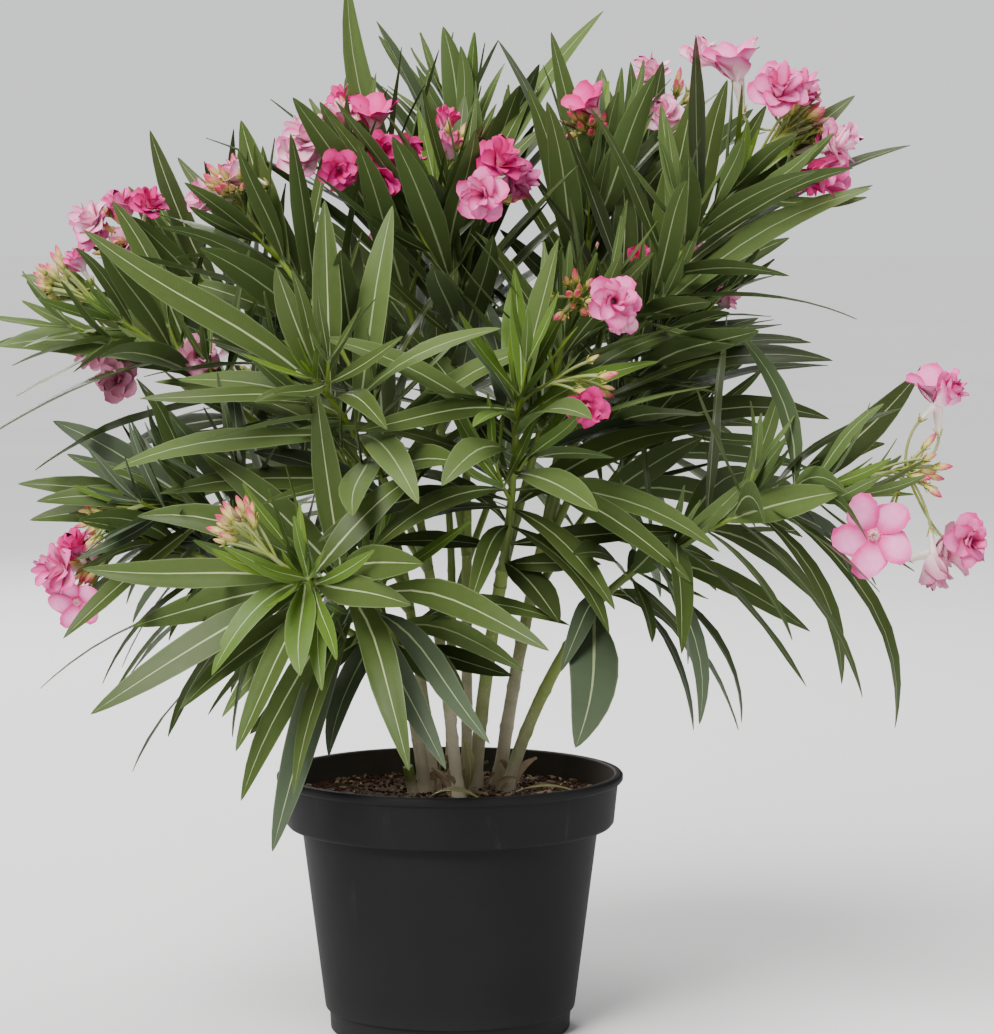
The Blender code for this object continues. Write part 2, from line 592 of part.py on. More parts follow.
def head_shapes(name, shoot_line):
    """The peduncle, blooms and buds of one head."""
    head = HEADS[name]
    arc = head_arc(head, shoot_line)
    middle = arc.end
    shapes = [limb(arc, 0.0, 1.0, peduncle_radius, PEDUNCLE_RINGS, STEM_SIDES)]
    axis = arc.way(1.0)
    root = middle - axis * PEDUNCLE_END_RADIUS
    for bloom in BLOOMS:
        if bloom.head == name:
            shapes.append(bloom_shape(root, in_mm(bloom.mouth), bloom.faces, bloom.width * MM))
    dice = random.Random(head.seed)
    side = level_side(axis)
    for bud in range(head.buds):
        turn = GOLDEN_ANGLE * bud + dice.uniform(-BUD_TURN_PLAY, BUD_TURN_PLAY)
        out = turned(side, axis, math.radians(turn))
        opening = BUD_OPENING * math.sqrt((bud + 0.5) / head.buds)
        angle = math.radians(opening + dice.uniform(-BUD_OPENING_PLAY, BUD_OPENING_PLAY))
        way = axis * math.cos(angle) + out * math.sin(angle)
        shapes.append(bud_shape(root, middle + way * BUD_REACH * dice.uniform(*BUD_REACH_PLAY)))
    return shapes


def keep_largest_body(mesh):
    """A mesh without the fins, sealed hollows and scraps that a Boolean leaves."""
    shell = bmesh.new()
    shell.from_mesh(mesh)
    bmesh.ops.remove_doubles(shell, verts=shell.verts, dist=MERGE_DISTANCE)
    bmesh.ops.dissolve_degenerate(shell, edges=shell.edges, dist=MERGE_DISTANCE)
    bmesh.ops.triangulate(shell, faces=shell.faces)
    corners = Counter(frozenset(face.verts) for face in shell.faces)
    fins = [face for face in shell.faces if corners[frozenset(face.verts)] > 1]
    bmesh.ops.delete(shell, geom=fins, context="FACES")
    kept = max(joined_faces(shell), key=len)
    bmesh.ops.delete(shell, geom=[face for face in shell.faces if face not in kept], context="FACES")
    shell.to_mesh(mesh)
    shell.free()


def joined_faces(shell):
    """The faces of each body of a bmesh, as sets."""
    left = set(shell.faces)
    while left:
        body = set()
        front = [left.pop()]
        while front:
            face = front.pop()
            body.add(face)
            beside = {other for edge in face.edges for other in edge.link_faces} & left
            left -= beside
            front.extend(beside)
        yield body


def fuse(name, shapes):
    """One mass of foliage out of its closed shapes, joined by a Boolean union on their collection."""
    piece = new_object(name, new_mesh(name, shapes[0]), FOLIAGE_FINISH)
    others = bpy.data.collections.new(name + "_parts")
    for index, shape in enumerate(shapes[1:]):
        part = bpy.data.objects.new(f"{name}_{index}", new_mesh(f"{name}_{index}", shape))
        others.objects.link(part)
    union = piece.modifiers.new("Union", "BOOLEAN")
    union.operation = "UNION"
    union.operand_type = "COLLECTION"
    union.collection = others
    union.solver = "MANIFOLD"
    apply_modifiers(piece)
    for part in list(others.objects):
        bpy.data.objects.remove(part)
    bpy.data.collections.remove(others)
    keep_largest_body(piece.data)


def apply_modifiers(piece):
    depsgraph = bpy.context.evaluated_depsgraph_get()
    mesh = bpy.data.meshes.new_from_object(piece.evaluated_get(depsgraph))
    piece.modifiers.clear()
    piece.data = mesh


def turn_piece(name, outline, finish):
    """An object turned about the Z axis from its outline of radius and height pairs."""
    mesh = bpy.data.meshes.new(name)
    verts = [(radius, 0, height) for radius, height in outline]
    mesh.from_pydata(verts, [(i, i + 1) for i in range(len(verts) - 1)], [])
    piece = new_object(name, mesh, finish)
    turn = piece.modifiers.new("Turn", "SCREW")
    turn.axis = "Z"
    turn.steps = POT_SIDES
    turn.render_steps = POT_SIDES
    turn.use_merge_vertices = True
    turn.merge_threshold = 0.1 * MM
    apply_modifiers(piece)
    shade_round(piece.data)
    return piece


def body_radius(height):
    """The outside radius of the pot's body under its collar."""
    return BASE_RADIUS + (BODY_TOP_RADIUS - BASE_RADIUS) * height / (POT_HEIGHT - COLLAR_HEIGHT)


def make_pot():
    collar_foot = POT_HEIGHT - COLLAR_HEIGHT
    lip_foot = POT_HEIGHT - LIP_HEIGHT
    collar_top = RIM_RADIUS - LIP_STAND_OUT
    outline = [
        (0, POT_FLOOR),
        (body_radius(POT_FLOOR) - POT_WALL, POT_FLOOR),
        (BODY_TOP_RADIUS - POT_WALL, collar_foot + POT_WALL),
        (COLLAR_FOOT_RADIUS - POT_WALL, collar_foot + POT_WALL),
        (collar_top - POT_WALL, POT_HEIGHT),
        (RIM_RADIUS - LIP_ROUNDING, POT_HEIGHT),
        (RIM_RADIUS, POT_HEIGHT - LIP_CREST_DROP),
        (RIM_RADIUS - LIP_ROUNDING, lip_foot),
        (collar_top, lip_foot - LIP_ROUNDING),
        (COLLAR_FOOT_RADIUS, collar_foot),
        (BODY_TOP_RADIUS, collar_foot),
        (body_radius(BASE_CHAMFER), BASE_CHAMFER),
        (BASE_RADIUS - BASE_CHAMFER, 0),
        (0, 0),
    ]
    pot = turn_piece("pot", outline, POT_FINISH)
    for hole in range(DRAIN_HOLES):
        turn = 2 * math.pi * (hole + 0.5) / DRAIN_HOLES
        cut_drain_hole(pot, Vector((math.cos(turn), math.sin(turn), 0)) * DRAIN_RING_RADIUS)


def cut_drain_hole(pot, middle):
    ways = [UP, UP]
    ends = [middle - UP * POT_FLOOR, middle + UP * POT_FLOOR * 2]
    cutter = bpy.data.objects.new(
        "drain_cutter", new_mesh("drain_cutter", tube(ends, ways, [DRAIN_RADIUS] * 2, DRAIN_SIDES))
    )
    bpy.context.scene.collection.objects.link(cutter)
    cutter.hide_render = True
    cutter.display_type = "WIRE"
    cut = pot.modifiers.new("Drain", "BOOLEAN")
    cut.operation = "DIFFERENCE"
    cut.object = cutter


def make_soil():
    collar_foot = POT_HEIGHT - COLLAR_HEIGHT
    edge_level = SOIL_LEVEL - SOIL_EDGE_DROP
    collar_top = RIM_RADIUS - LIP_STAND_OUT
    up_collar = (edge_level - collar_foot) / COLLAR_HEIGHT
    edge_radius = COLLAR_FOOT_RADIUS + (collar_top - COLLAR_FOOT_RADIUS) * up_collar - POT_WALL - 2 * GAP
    step = collar_foot + POT_WALL + GAP
    outline = [
        (0, SOIL_LEVEL),
        (SOIL_FLAT_RADIUS, SOIL_LEVEL),
        (edge_radius, edge_level),
        (COLLAR_FOOT_RADIUS - POT_WALL - 2 * GAP, step),
        (BODY_TOP_RADIUS - POT_WALL - 2 * GAP, step),
        (body_radius(POT_FLOOR) - POT_WALL - 2 * GAP, POT_FLOOR + GAP),
        (0, POT_FLOOR + GAP),
    ]
    turn_piece("soil", outline, SOIL_FINISH)


def make_canes(crown):
    for name, cane in CANES.items():
        arc = cane_arc(cane)
        shape = limb(arc, 0.0, 1.0, cane_radius(cane), CANE_RINGS, CANE_SIDES, level_foot=True)
        piece = new_object(name, new_mesh(name, shape), CANE_FINISH)
        shade_round(piece.data)
        crown.add(name, shape)


def in_line_limbs(cane_name):
    """A cane and the shoot that carries it on, both swollen by the gap."""
    cane = CANES[cane_name]
    arc = cane_arc(cane)
    yield limb(arc, 0.0, 1.0 + share_of_gap(arc), cane_radius(cane, GAP), CANE_RINGS, CANE_SIDES)
    for shoot in SHOOTS.values():
        if shoot.cane == cane_name and shoot.at == 1.0:
            yield limb(shoot_arc(shoot), 0.0, 1.0, shoot_radius(shoot, GAP), CANE_RINGS, CANE_SIDES)


def cut_clear(piece, shape):
    cutter = bpy.data.objects.new(piece.name + "_cutter", new_mesh(piece.name + "_cutter", shape))
    bpy.context.scene.collection.objects.link(cutter)
    cut = piece.modifiers.new("Clear", "BOOLEAN")
    cut.operation = "DIFFERENCE"
    cut.object = cutter
    apply_modifiers(piece)
    bpy.data.objects.remove(cutter)
    keep_largest_body(piece.data)


def make_bough(crown, name, shoot):
    """The bare foot of a shoot: in line with its cane's end, or cut clear of the cane that it leaves. Leaves
    keep clear of the whole limb, also of the end that is cut away inside the cane."""
    arc = shoot_arc(shoot)
    in_line = shoot.at == 1.0
    start = share_of_gap(arc) if in_line else 0.0
    shape = limb(arc, start, shoot.bare, shoot_radius(shoot), BOUGH_RINGS, CANE_SIDES)
    bough = new_object(name, new_mesh(name, shape), BOUGH_FINISH)
    for cutting_shape in () if in_line else in_line_limbs(shoot.cane):
        cut_clear(bough, cutting_shape)
    shade_round(bough.data)
    crown.add(name, shape)


def make_stem(crown, name, shoot):
    """The stem of a mass, from its bough's tip, or from its cane's end where it has no bough."""
    arc = shoot_arc(shoot)
    start = shoot.bare if has_bough(shoot) else 0.0
    stem = limb(arc, start + share_of_gap(arc), 1.0, shoot_radius(shoot), STEM_RINGS, STEM_SIDES)
    crown.add(name, stem)
    return stem


def add_heads(crown, name, shoot, shapes):
    """The blossom of a mass: what would touch another mass or a limb is left out."""
    for head_name, head in HEADS.items():
        if head.shoot != name:
            continue
        for shape in head_shapes(head_name, shoot_arc(shoot)):
            if crown.clear(name, shape):
                crown.add(name, shape)
                shapes.append(shape)


def make_masses(crown):
    """All stems stand first, then the blossom, then the leaves that set the outline, then the whorls."""
    shapes = {name: [make_stem(crown, name, shoot)] for name, shoot in SHOOTS.items()}
    for name, shoot in SHOOTS.items():
        add_heads(crown, name, shoot, shapes[name])
    for name, shoot in SHOOTS.items():
        placed_leaves(crown, name, shoot_arc(shoot), shapes[name])
    for name, shoot in SHOOTS.items():
        whorled_leaves(crown, name, shoot, shoot_arc(shoot), shapes[name])
    for name in SHOOTS:
        fuse("foliage_" + name, shapes[name])


def main():
    for leftover in list(bpy.data.objects):
        bpy.data.objects.remove(leftover)
    crown = Crown()
    make_pot()
    make_soil()
    make_canes(crown)
    for name, shoot in SHOOTS.items():
        if has_bough(shoot):
            make_bough(crown, "bough_" + name, shoot)
    make_masses(crown)


main()
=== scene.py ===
"""A potted oleander: a black nursery pot of potting mix, eight canes with their boughs, whorls of
lance-shaped leaves and heads of pink blossom. The plant grows by the rule of its solids, and is carried on
to finer twigs."""

from collections import namedtuple
from functools import cache
from math import cos, exp, hypot, pi, radians, sin, sqrt, tan
from random import Random

import bpy
import numpy as np
from bpy.props import FloatProperty, FloatVectorProperty, IntProperty, PointerProperty
from bpy.types import Operator, Panel, PropertyGroup
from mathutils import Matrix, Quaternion, Vector, noise
from mathutils.bvhtree import BVHTree


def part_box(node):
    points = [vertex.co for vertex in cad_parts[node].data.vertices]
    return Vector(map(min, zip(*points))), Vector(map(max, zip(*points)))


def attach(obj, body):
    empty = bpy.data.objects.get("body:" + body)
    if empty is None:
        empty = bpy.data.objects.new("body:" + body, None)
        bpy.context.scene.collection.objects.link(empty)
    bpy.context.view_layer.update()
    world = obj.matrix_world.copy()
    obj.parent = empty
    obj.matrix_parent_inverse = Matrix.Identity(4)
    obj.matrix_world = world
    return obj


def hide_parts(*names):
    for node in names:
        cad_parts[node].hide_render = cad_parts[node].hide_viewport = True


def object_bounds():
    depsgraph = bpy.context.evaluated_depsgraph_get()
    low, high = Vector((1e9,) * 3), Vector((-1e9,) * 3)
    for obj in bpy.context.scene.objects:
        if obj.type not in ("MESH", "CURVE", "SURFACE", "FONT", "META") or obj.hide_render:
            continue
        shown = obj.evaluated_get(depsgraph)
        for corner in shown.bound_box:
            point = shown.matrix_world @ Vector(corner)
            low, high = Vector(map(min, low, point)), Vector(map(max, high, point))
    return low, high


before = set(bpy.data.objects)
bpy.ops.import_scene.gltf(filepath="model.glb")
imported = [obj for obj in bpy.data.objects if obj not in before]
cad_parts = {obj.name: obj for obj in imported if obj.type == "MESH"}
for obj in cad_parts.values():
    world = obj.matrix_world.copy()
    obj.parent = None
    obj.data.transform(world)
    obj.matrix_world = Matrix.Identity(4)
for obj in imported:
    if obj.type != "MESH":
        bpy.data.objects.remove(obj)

bl_info = {
    "name": "Potted Oleander",
    "version": (1, 0, 0),
    "blender": (4, 5, 0),
    "location": "3D View > Sidebar > Oleander",
    "description": "Builds a potted oleander in bloom, piece by piece",
    "category": "Add Mesh",
}

CAD_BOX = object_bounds()
POT_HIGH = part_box("pot")[1]
SOIL_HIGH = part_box("soil")[1]
CANE_NODES = sorted(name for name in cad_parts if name.startswith("cane_"))
BOUGH_NODES = sorted(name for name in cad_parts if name.startswith("bough_"))
FOLIAGE_NODES = sorted(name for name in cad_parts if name.startswith("foliage_"))
MAP = "OFBake"

MM = 0.001
TURN = 2 * pi
UP = Vector((0, 0, 1))
UPRIGHT = 0.05  # the sine of the lean under which a direction counts as upright
GAP = 0.3 * MM  # left between solids that touch
SOIL_LEVEL = 147 * MM

# How the solids' canes and boughs run
CANE_SIDES = 6
CANE_RINGS = 6
BOUGH_RINGS = 4
FOOT_FLARE = 1.35
FLARE_SHARE = 0.06
CANE_RISE = 0.45  # a cane sets off this share of its length upright
CANE_LEAN = 0.3  # and this share of its lean sideways
RUN_ON_SHARE = 0.35  # a shoot that carries its cane on keeps the cane's way for this share
SET_OFF_SHARE = 0.42  # a shoot from a cane's side bends at this share
CANE_PULL = 0.5  # and sets off this much along the cane
FORK_THINNING = 0.85
LONG_BARE_FOOT = 0.3  # a shoot in line with its cane has a bough where its bare foot is over this share
STEM_SIDES = 3
STEM_RINGS = 6
STEM_TIP_RADIUS = 1.5 * MM

# How the solids' leaves stand
LEAF_WIDTH_SHARE = 0.155
WIDEST_LEAF = 18.5 * MM
LEAF_DEPTH_SHARE = 0.08  # of the leaf's width
PLACED_SECTIONS = ((0.32, 0.86), (0.66, 0.88))
WHORL_SECTIONS = ((0.46, 1.0),)
WHORL_LEAVES = 3
WHORL_TURN = 60
AZIMUTH_PLAY = 16
OPENING_PLAY = 12
ROLL_PLAY = 0.35
LENGTH_PLAY = (0.85, 1.1)
FALL_PLAY = (0.4, 1.5)
LOWEST_LEAF_SHARE = 0.72
LENGTH_SWELL = 0.33
SWELL_PACE = 1.15
YOUNG_RISE = 0.8
YOUNG_LEAF_SHARE = 0.8
LEAF_BEND = 0.5
LAST_WHORL = 0.985
WHORL_CROWDING = 1.35
CLEARANCE = 0.5 * MM
ROOT_SHARE = 0.16
TURNS_TRIED = (0, 9, -9, 18, -18, 27, -27)
LIFTS_TRIED = (0, -10, 10)

# How the solids' blossom stands
PEDUNCLE_RADIUS = 1.3 * MM
PEDUNCLE_END_RADIUS = 2.8 * MM
STALK_RADIUS = 0.9 * MM
TUBE_RADIUS_SHARE = 0.13
NOTCH_SHARE = 0.62
NECK_SHARE = 0.3
THROAT_SHARE = 0.12
PETALS = 5
PEDUNCLE_RINGS = 3
PEDUNCLE_BEND = 0.5
BUD_LENGTH = 13 * MM
BUD_RADIUS = 2.6 * MM
BUD_MIDDLE = 0.45
BUD_REACH = 24 * MM
BUD_REACH_PLAY = (0.75, 1.25)
BUD_OPENING = 55
BUD_OPENING_PLAY = 8
BUD_TURN_PLAY = 20
GOLDEN_ANGLE = 137.5

Cane = namedtuple("Cane", "foot fork foot_radius fork_radius")
CANES = {
    "cane_left": Cane((-15, -10), (-30, -45, 235), 3.8, 3.2),
    "cane_back_left": Cane((-10, 5), (-30, 35, 280), 3.6, 3.0),
    "cane_mid_left": Cane((5, -25), (-15, -30, 300), 3.8, 3.0),
    "cane_centre": Cane((15, 10), (32, -44, 285), 4.2, 3.8),
    "cane_rear": Cane((10, 30), (10, 30, 315), 3.6, 3.0),
    "cane_right": Cane((35, 0), (80, -20, 250), 4.0, 3.4),
    "cane_mid_right": Cane((30, 25), (60, 10, 310), 4.2, 3.4),
    "cane_back": Cane((0, 45), (0, 85, 260), 3.6, 3.0),
}

# A shoot leaves its cane at a share of the cane's length. Its foot is bare, and whorls follow up to its tip.
# Leaf length in mm; the leaves open from the stem by angles in degrees, at the lowest and the highest whorl.
# Each shoot's tones are those of its low, middle and high whorls. Deep tones low down and on the back and
# inner shoots, and light tones high up and on the outer shoots, are painted shade and painted light over the
# leaves' own colours; grey partly stands for a painted sheen.
SHADED, INNER = "deep deep green", "deep green green"
OUTER, GREYISH = "deep green light", "deep green grey"
Shoot = namedtuple("Shoot", "cane at tip bare whorls leaf open_low open_high droop turn seed tones")
SHOOT_ROWS = (
    ("front_left", "left", 1, (-80, -150, 290), 0.12, 6, 130, 80, 50, 0.5, 75, 28, "light green fresh"),
    ("mid_left", "mid_left", 0.9, (-75, -110, 400), 0.3, 7, 130, 75, 40, 0.25, 100, 5, "green light green"),
    ("centre", "centre", 1, (40, -90, 385), 0.28, 8, 135, 80, 32, 0.3, 45, 22, "green light fresh"),
    ("centre_high", "centre", 0.92, (70, -60, 425), 0.5, 6, 115, 65, 28, 0.2, 35, 12, "green green light"),
    ("top_right", "mid_right", 1, (165, -60, 510), 0.45, 9, 125, 58, 25, 0.12, 55, 56, OUTER),
    ("right_low", "right", 1, (220, -60, 335), 0.12, 9, 125, 80, 42, 0.45, 30, 55, "green green light"),
    ("mid_left_tip", "back_left", 0.8, (-165, -50, 325), 0.45, 7, 115, 65, 22, 0.15, 85, 14, GREYISH),
    ("low_left", "left", 0.85, (-175, -30, 300), 0.35, 8, 115, 75, 35, 0.45, 110, 15, INNER),
    ("left_up", "mid_left", 1, (-110, -20, 480), 0.38, 8, 120, 62, 28, 0.15, 105, 58, INNER),
    ("far_left", "back_left", 0.9, (-195, -10, 430), 0.4, 8, 130, 62, 30, 0.25, 40, 17, OUTER),
    ("top_mid", "rear", 1, (-5, -10, 500), 0.4, 8, 125, 60, 22, 0.1, 105, 58, INNER),
    ("right_mid", "mid_right", 0.82, (130, -10, 430), 0.35, 8, 130, 68, 30, 0.2, 60, 13, SHADED),
    ("top_left", "rear", 0.84, (-50, 20, 520), 0.38, 9, 125, 58, 20, 0.1, 90, 19, OUTER),
    ("top_mid_right", "mid_right", 0.9, (90, 30, 520), 0.45, 9, 125, 52, 20, 0.08, 35, 60, OUTER),
    ("back_left", "back_left", 1, (-170, 80, 460), 0.45, 7, 115, 60, 28, 0.15, 25, 50, SHADED),
    ("top_back", "rear", 0.72, (10, 90, 545), 0.5, 8, 120, 55, 18, 0.1, 80, 33, OUTER),
    ("back_top_right", "mid_right", 0.75, (125, 110, 525), 0.5, 8, 115, 58, 25, 0.15, 105, 58, SHADED),
    ("back_low_right", "mid_right", 0.68, (135, 110, 365), 0.35, 8, 120, 70, 30, 0.25, 5, 6, SHADED),
    ("back_low_left", "back", 0.85, (-95, 150, 360), 0.45, 8, 120, 70, 30, 0.25, 75, 52, SHADED),
    ("back_right", "back", 0.86, (75, 160, 420), 0.45, 8, 120, 65, 28, 0.2, 60, 37, INNER),
    ("back_centre", "back", 1, (-20, 190, 440), 0.45, 8, 120, 65, 28, 0.2, 0, 25, INNER),
)
SHOOTS = {name: Shoot("cane_" + cane, *rest) for name, cane, *rest in SHOOT_ROWS}

# The leaves that set the crown's outline are placed by their tips: the share of the shoot they leave at,
# the tip in mm, how far the blade bows as a share of its length, its width in mm and its roll in degrees.
# Each placed leaf also takes a tone, partly its own colour and partly painted light and shade: light for
# leaves that catch the light, deep for leaves in shade, grey partly for a painted sheen.
PlacedLeaf = namedtuple("PlacedLeaf", "at tip bow tone width roll", defaults=(18, 0))
PLACED_LEAVES = {
    "front_left": (
        (0.97, (-205, -150, 295), 0.06, "green", 17), (0.92, (-200, -165, 215), 0.1, "green"),
        (0.99, (-80, -195, 240), 0.1, "fresh", 17, -20), (0.95, (-20, -200, 280), 0.15, "green", 19),
        (0.6, (-100, -125, 130), 0.12, "grey", 17, -20), (0.52, (0, -165, 185), 0.12, "grey", 17, -20),
        (0.7, (-120, -100, 155), 0.1, "green", 17), (0.8, (-150, -150, 215), 0.1, "green"),
        (0.05, (70, -80, 254), 0.5, "green", 17), (0.03, (37, -70, 224), 0.1, "deep", 15),
        (0.08, (9, -80, 215), 0.2, "deep", 20, 20), (0.3, (-70, -110, 183), 0.15, "grey", 17),
        (0.96, (-15, -130, 350), 0.2, "green", 16),
    ),
    "low_left": ((0.6, (-245, -40, 215), 0.15, "deep"), (0.45, (-195, -30, 165), 0.15, "deep")),
    "mid_left_tip": ((0.7, (-255, -50, 330), 0.1, "green"), (0.5, (-160, -100, 380), 0.05, "grey", 18, -30)),
    "far_left": ((0.85, (-270, -10, 415), 0.15, "light", 20, -40),),
    "back_left": ((0.85, (-190, 80, 545), 0.05, "deep", 18, 70),),
    "left_up": ((0.9, (-125, 0, 550), 0.03, "green", 18, 50),),
    "mid_left": (
        (0.9, (-205, -130, 485), 0.06, "green", 17, -20), (0.97, (-95, -140, 465), 0.04, "green", 18, 20),
    ),
    "top_left": ((0.75, (-70, 50, 635), 0.03, "light", 19, 60),),
    "top_back": (
        (0.85, (95, 100, 620), 0.08, "light", 18, 60), (0.95, (-5, 90, 610), 0.02, "green", 18, 60),
        (0.9, (20, 80, 600), 0.02, "light", 18, 60),
    ),
    "top_mid_right": ((0.6, (35, 0, 600), 0.16, "grey", 18, -60),),
    "top_right": ((0.6, (240, -90, 510), 0.12, "light", 18, 60), (0.75, (270, -50, 535), 0.14, "deep")),
    "right_mid": ((0.8, (230, -10, 410), 0.1, "deep", 18, 30), (0.55, (230, 0, 375), 0.15, "deep", 18, 30)),
    "centre": (
        (0.97, (-51, -130, 372), 0.1, "green", 14, -30), (0.66, (141, -105, 284), 0.14, "green", 16, 20),
        (0.5, (-73, -125, 307), 0.26, "deep", 19), (0.2, (137, -75, 309), 0.05, "deep", 14, 30),
        (0.15, (-40, -85, 306), 0.08, "deep", 17), (0.06, (65, -90, 258), 0.15, "deep", 20),
        (0.04, (88, -85, 293), 0, "green", 18, 20), (0.95, (65, -120, 480), 0.04, "light", 18, 10),
    ),
    "right_low": (
        (0.1, (75, -140, 195), 0.1, "grey", 26, 20), (0.33, (128, -58, 303), 0, "green"),
        (0.32, (122, -50, 242), 0.1, "green"), (0.45, (148, -60, 194), 0.2, "grey", 12, 60),
        (0.25, (145, -20, 185), 0.25, "deep", 14), (0.35, (180, -20, 190), 0.25, "deep", 14),
        (0.92, (170, -50, 425), 0.25, "grey", 18, 50), (0.88, (280, -30, 400), 0.08, "deep", 18, -30),
        (0.85, (270, -50, 190), 0.28, "green", 16, 20), (0.8, (235, -40, 215), 0.25, "green", 16, 20),
        (0.7, (225, -100, 335), 0.12, "light", 18, 160),
    ),
}

# A head of blossom stands on a peduncle that leaves its shoot near the tip. Buds are set round its middle.
Head = namedtuple("Head", "middle buds all_buds at shoot seed")
HEAD_ROWS = (
    ("back_left", (-200, 60, 480), 3, 9), ("left_up", (-125, -30, 505), 4, 24),
    ("top_left", (-60, 15, 540), 3, 13), ("top_mid", (0, -5, 530), 2, 8),
    ("top_front", (20, -25, 505), 2, 7, 0.85, "top_mid"), ("top_mid_right", (85, 10, 545), 4, 15),
    ("back_top_right", (140, 95, 560), 2, 8), ("top_right", (200, -60, 545), 5, 30),
    ("right_mid", (145, 5, 455), 2, 9), ("centre_high", (75, -90, 445), 4, 18),
    ("centre", (75, -105, 400), 2, 6, 0.92), ("right_low", (270, -65, 345), 4, 13),
    ("low_left", (-210, -35, 290), 3, 15, 0.95), ("front_left", (-110, -165, 315), 6, 22, 0.98),
    ("far_left", (-230, -5, 450), 4, 22), ("mid_left_tip", (-200, -50, 315), 3, 10),
    ("back_centre", (-25, 215, 470), 3, 9), ("back_right", (90, 180, 455), 3, 9),
    ("back_low_left", (-120, 175, 390), 3, 9),
)


def head_of(seed, name, middle, buds, all_buds, at=0.97, shoot=None):
    """A head stands on the shoot of its own name where no other is given."""
    return Head(middle, buds, all_buds, at, shoot or name, seed)


HEADS = {row[0]: head_of(seed, *row) for seed, row in enumerate(HEAD_ROWS, start=1)}

# The open blooms of each head: the middle of the mouth in mm, the way it faces and the width in mm.
Bloom = namedtuple("Bloom", "mouth faces width tint form", defaults=("double",))
BLOOMS = {
    "right_low": (
        ((245, -105, 310), (-0.15, -1, 0.1), 52, "pink", "single"),
        ((285, -60, 400), (-0.1, -0.3, 1), 36, "pink", "trumpet"),
        ((300, -70, 300), (0.6, -0.5, 0.2), 36, "faded", "trumpet"),
        ((285, -75, 280), (0.1, -0.2, -1), 22, "faded", "half"),
    ),
    "top_right": (
        ((165, -60, 590), (-0.2, -0.3, 1), 38, "pink", "trumpet"),
        ((190, -85, 565), (0, -0.8, 0.5), 38, "pink"), ((220, -55, 535), (0.9, -0.4, 0.3), 32, "pink"),
        ((210, -75, 515), (0.5, -0.6, -0.5), 26, "deep"),
    ),
    "top_mid_right": (((80, -5, 565), (-0.5, -0.5, 0.8), 30, "deep", "trumpet"),),
    "top_front": (
        ((30, -50, 525), (0.2, -0.7, 0.6), 34, "deep"), ((20, -65, 505), (-0.3, -0.9, -0.1), 34, "pink"),
    ),
    "top_mid": (((0, 0, 555), (0.3, -0.3, 0.9), 16, "deep", "half"),),
    "top_left": (
        ((-45, 0, 560), (0, -0.5, 0.9), 32, "deep", "trumpet"),
        ((-85, 0, 540), (-0.6, -0.7, 0.4), 34, "pale"), ((-40, -10, 530), (0.4, -0.9, 0), 30, "deep"),
        ((-65, 25, 560), (-0.2, -0.4, 0.8), 26, "deep"),
    ),
    "back_left": (
        ((-220, 50, 490), (-0.7, -0.6, 0.4), 30, "pale"),
        ((-205, 60, 505), (-0.2, -0.4, 0.9), 22, "pink", "half"),
        ((-185, 50, 500), (0.3, -0.7, 0.7), 26, "deep"),
    ),
    "left_up": (((-150, -40, 505), (-0.9, -0.4, 0.1), 24, "pale", "half"),),
    "back_top_right": (
        ((125, 90, 580), (-0.4, -0.4, 0.7), 30, "pale"), ((155, 95, 590), (0.3, -0.3, 0.8), 30, "pale"),
    ),
    "right_mid": (((145, -10, 470), (0.1, -0.7, 0.7), 26, "pale", "trumpet"),),
    "centre_high": (((95, -120, 445), (0.1, -1, 0.1), 33, "pink"),),
    "centre": (((80, -120, 385), (0.1, -0.8, -0.4), 27, "deep"),),
    "low_left": (
        ((-230, -55, 285), (-0.7, -0.7, 0), 34, "pink"),
        ((-220, -55, 265), (-0.2, -0.9, -0.3), 34, "pink", "single"),
        ((-222, -55, 303), (-0.3, -0.6, 0.7), 20, "deep", "half"),
    ),
    "far_left": (((-215, 5, 410), (-0.6, -0.5, -0.3), 24, "faded"),),
    "back_centre": (
        ((-45, 235, 485), (-0.4, 0.6, 0.6), 34, "pink"),
        ((-10, 235, 490), (0.3, 0.7, 0.6), 32, "pale", "trumpet"),
    ),
    "back_right": (
        ((110, 195, 475), (0.5, 0.5, 0.7), 34, "deep"),
        ((85, 200, 465), (-0.1, 0.9, 0.3), 30, "pink", "single"),
    ),
    "back_low_left": (((-140, 190, 405), (-0.5, 0.6, 0.5), 34, "pale"),),
}


# The finer growth that the solids leave out
# How leaves take their tones by height and at random: partly their own colours, partly painted light and
# shade; the grey share partly stands for a painted sheen.
LOW_TONE_RISE = 0.35
HIGH_TONE_RISE = 0.75
GREY_SHARE = 0.1
STRAY_TONE_SHARE = 0.15
SMALL_BUD_REACH = 21 * MM
SMALL_BUD_SIZE = (0.55, 1.15)
SMALL_BUD_START = (0.55, 0.98)
REACH_MARGIN = 3 * MM
YOUNG_LIFT = 0.15
YOUNG_PLAY = 7
TIP_WHORLS = ((34, 58), (14, 34))  # the opening in degrees and the leaf length in mm
TWIG_WHORLS = ((0.45, 42, 70), (0.98, 24, 46))  # the share of the twig first
FIRST_TWIG = 0.3
LAST_TWIG = 0.9
TWIG_OPENING = (30, 48)
TWIG_LENGTH = (26, 50)
TWIG_LIFT = 0.35
TWIG_RADIUS = 1.4 * MM
TWIG_TIP_RADIUS = 0.9 * MM
# Shoots that stand in full light: their tip leaves take the brighter young tone as painted light.
SUNLIT = ("front_left", "centre", "mid_left", "top_mid_right", "top_right", "top_left", "right_low")

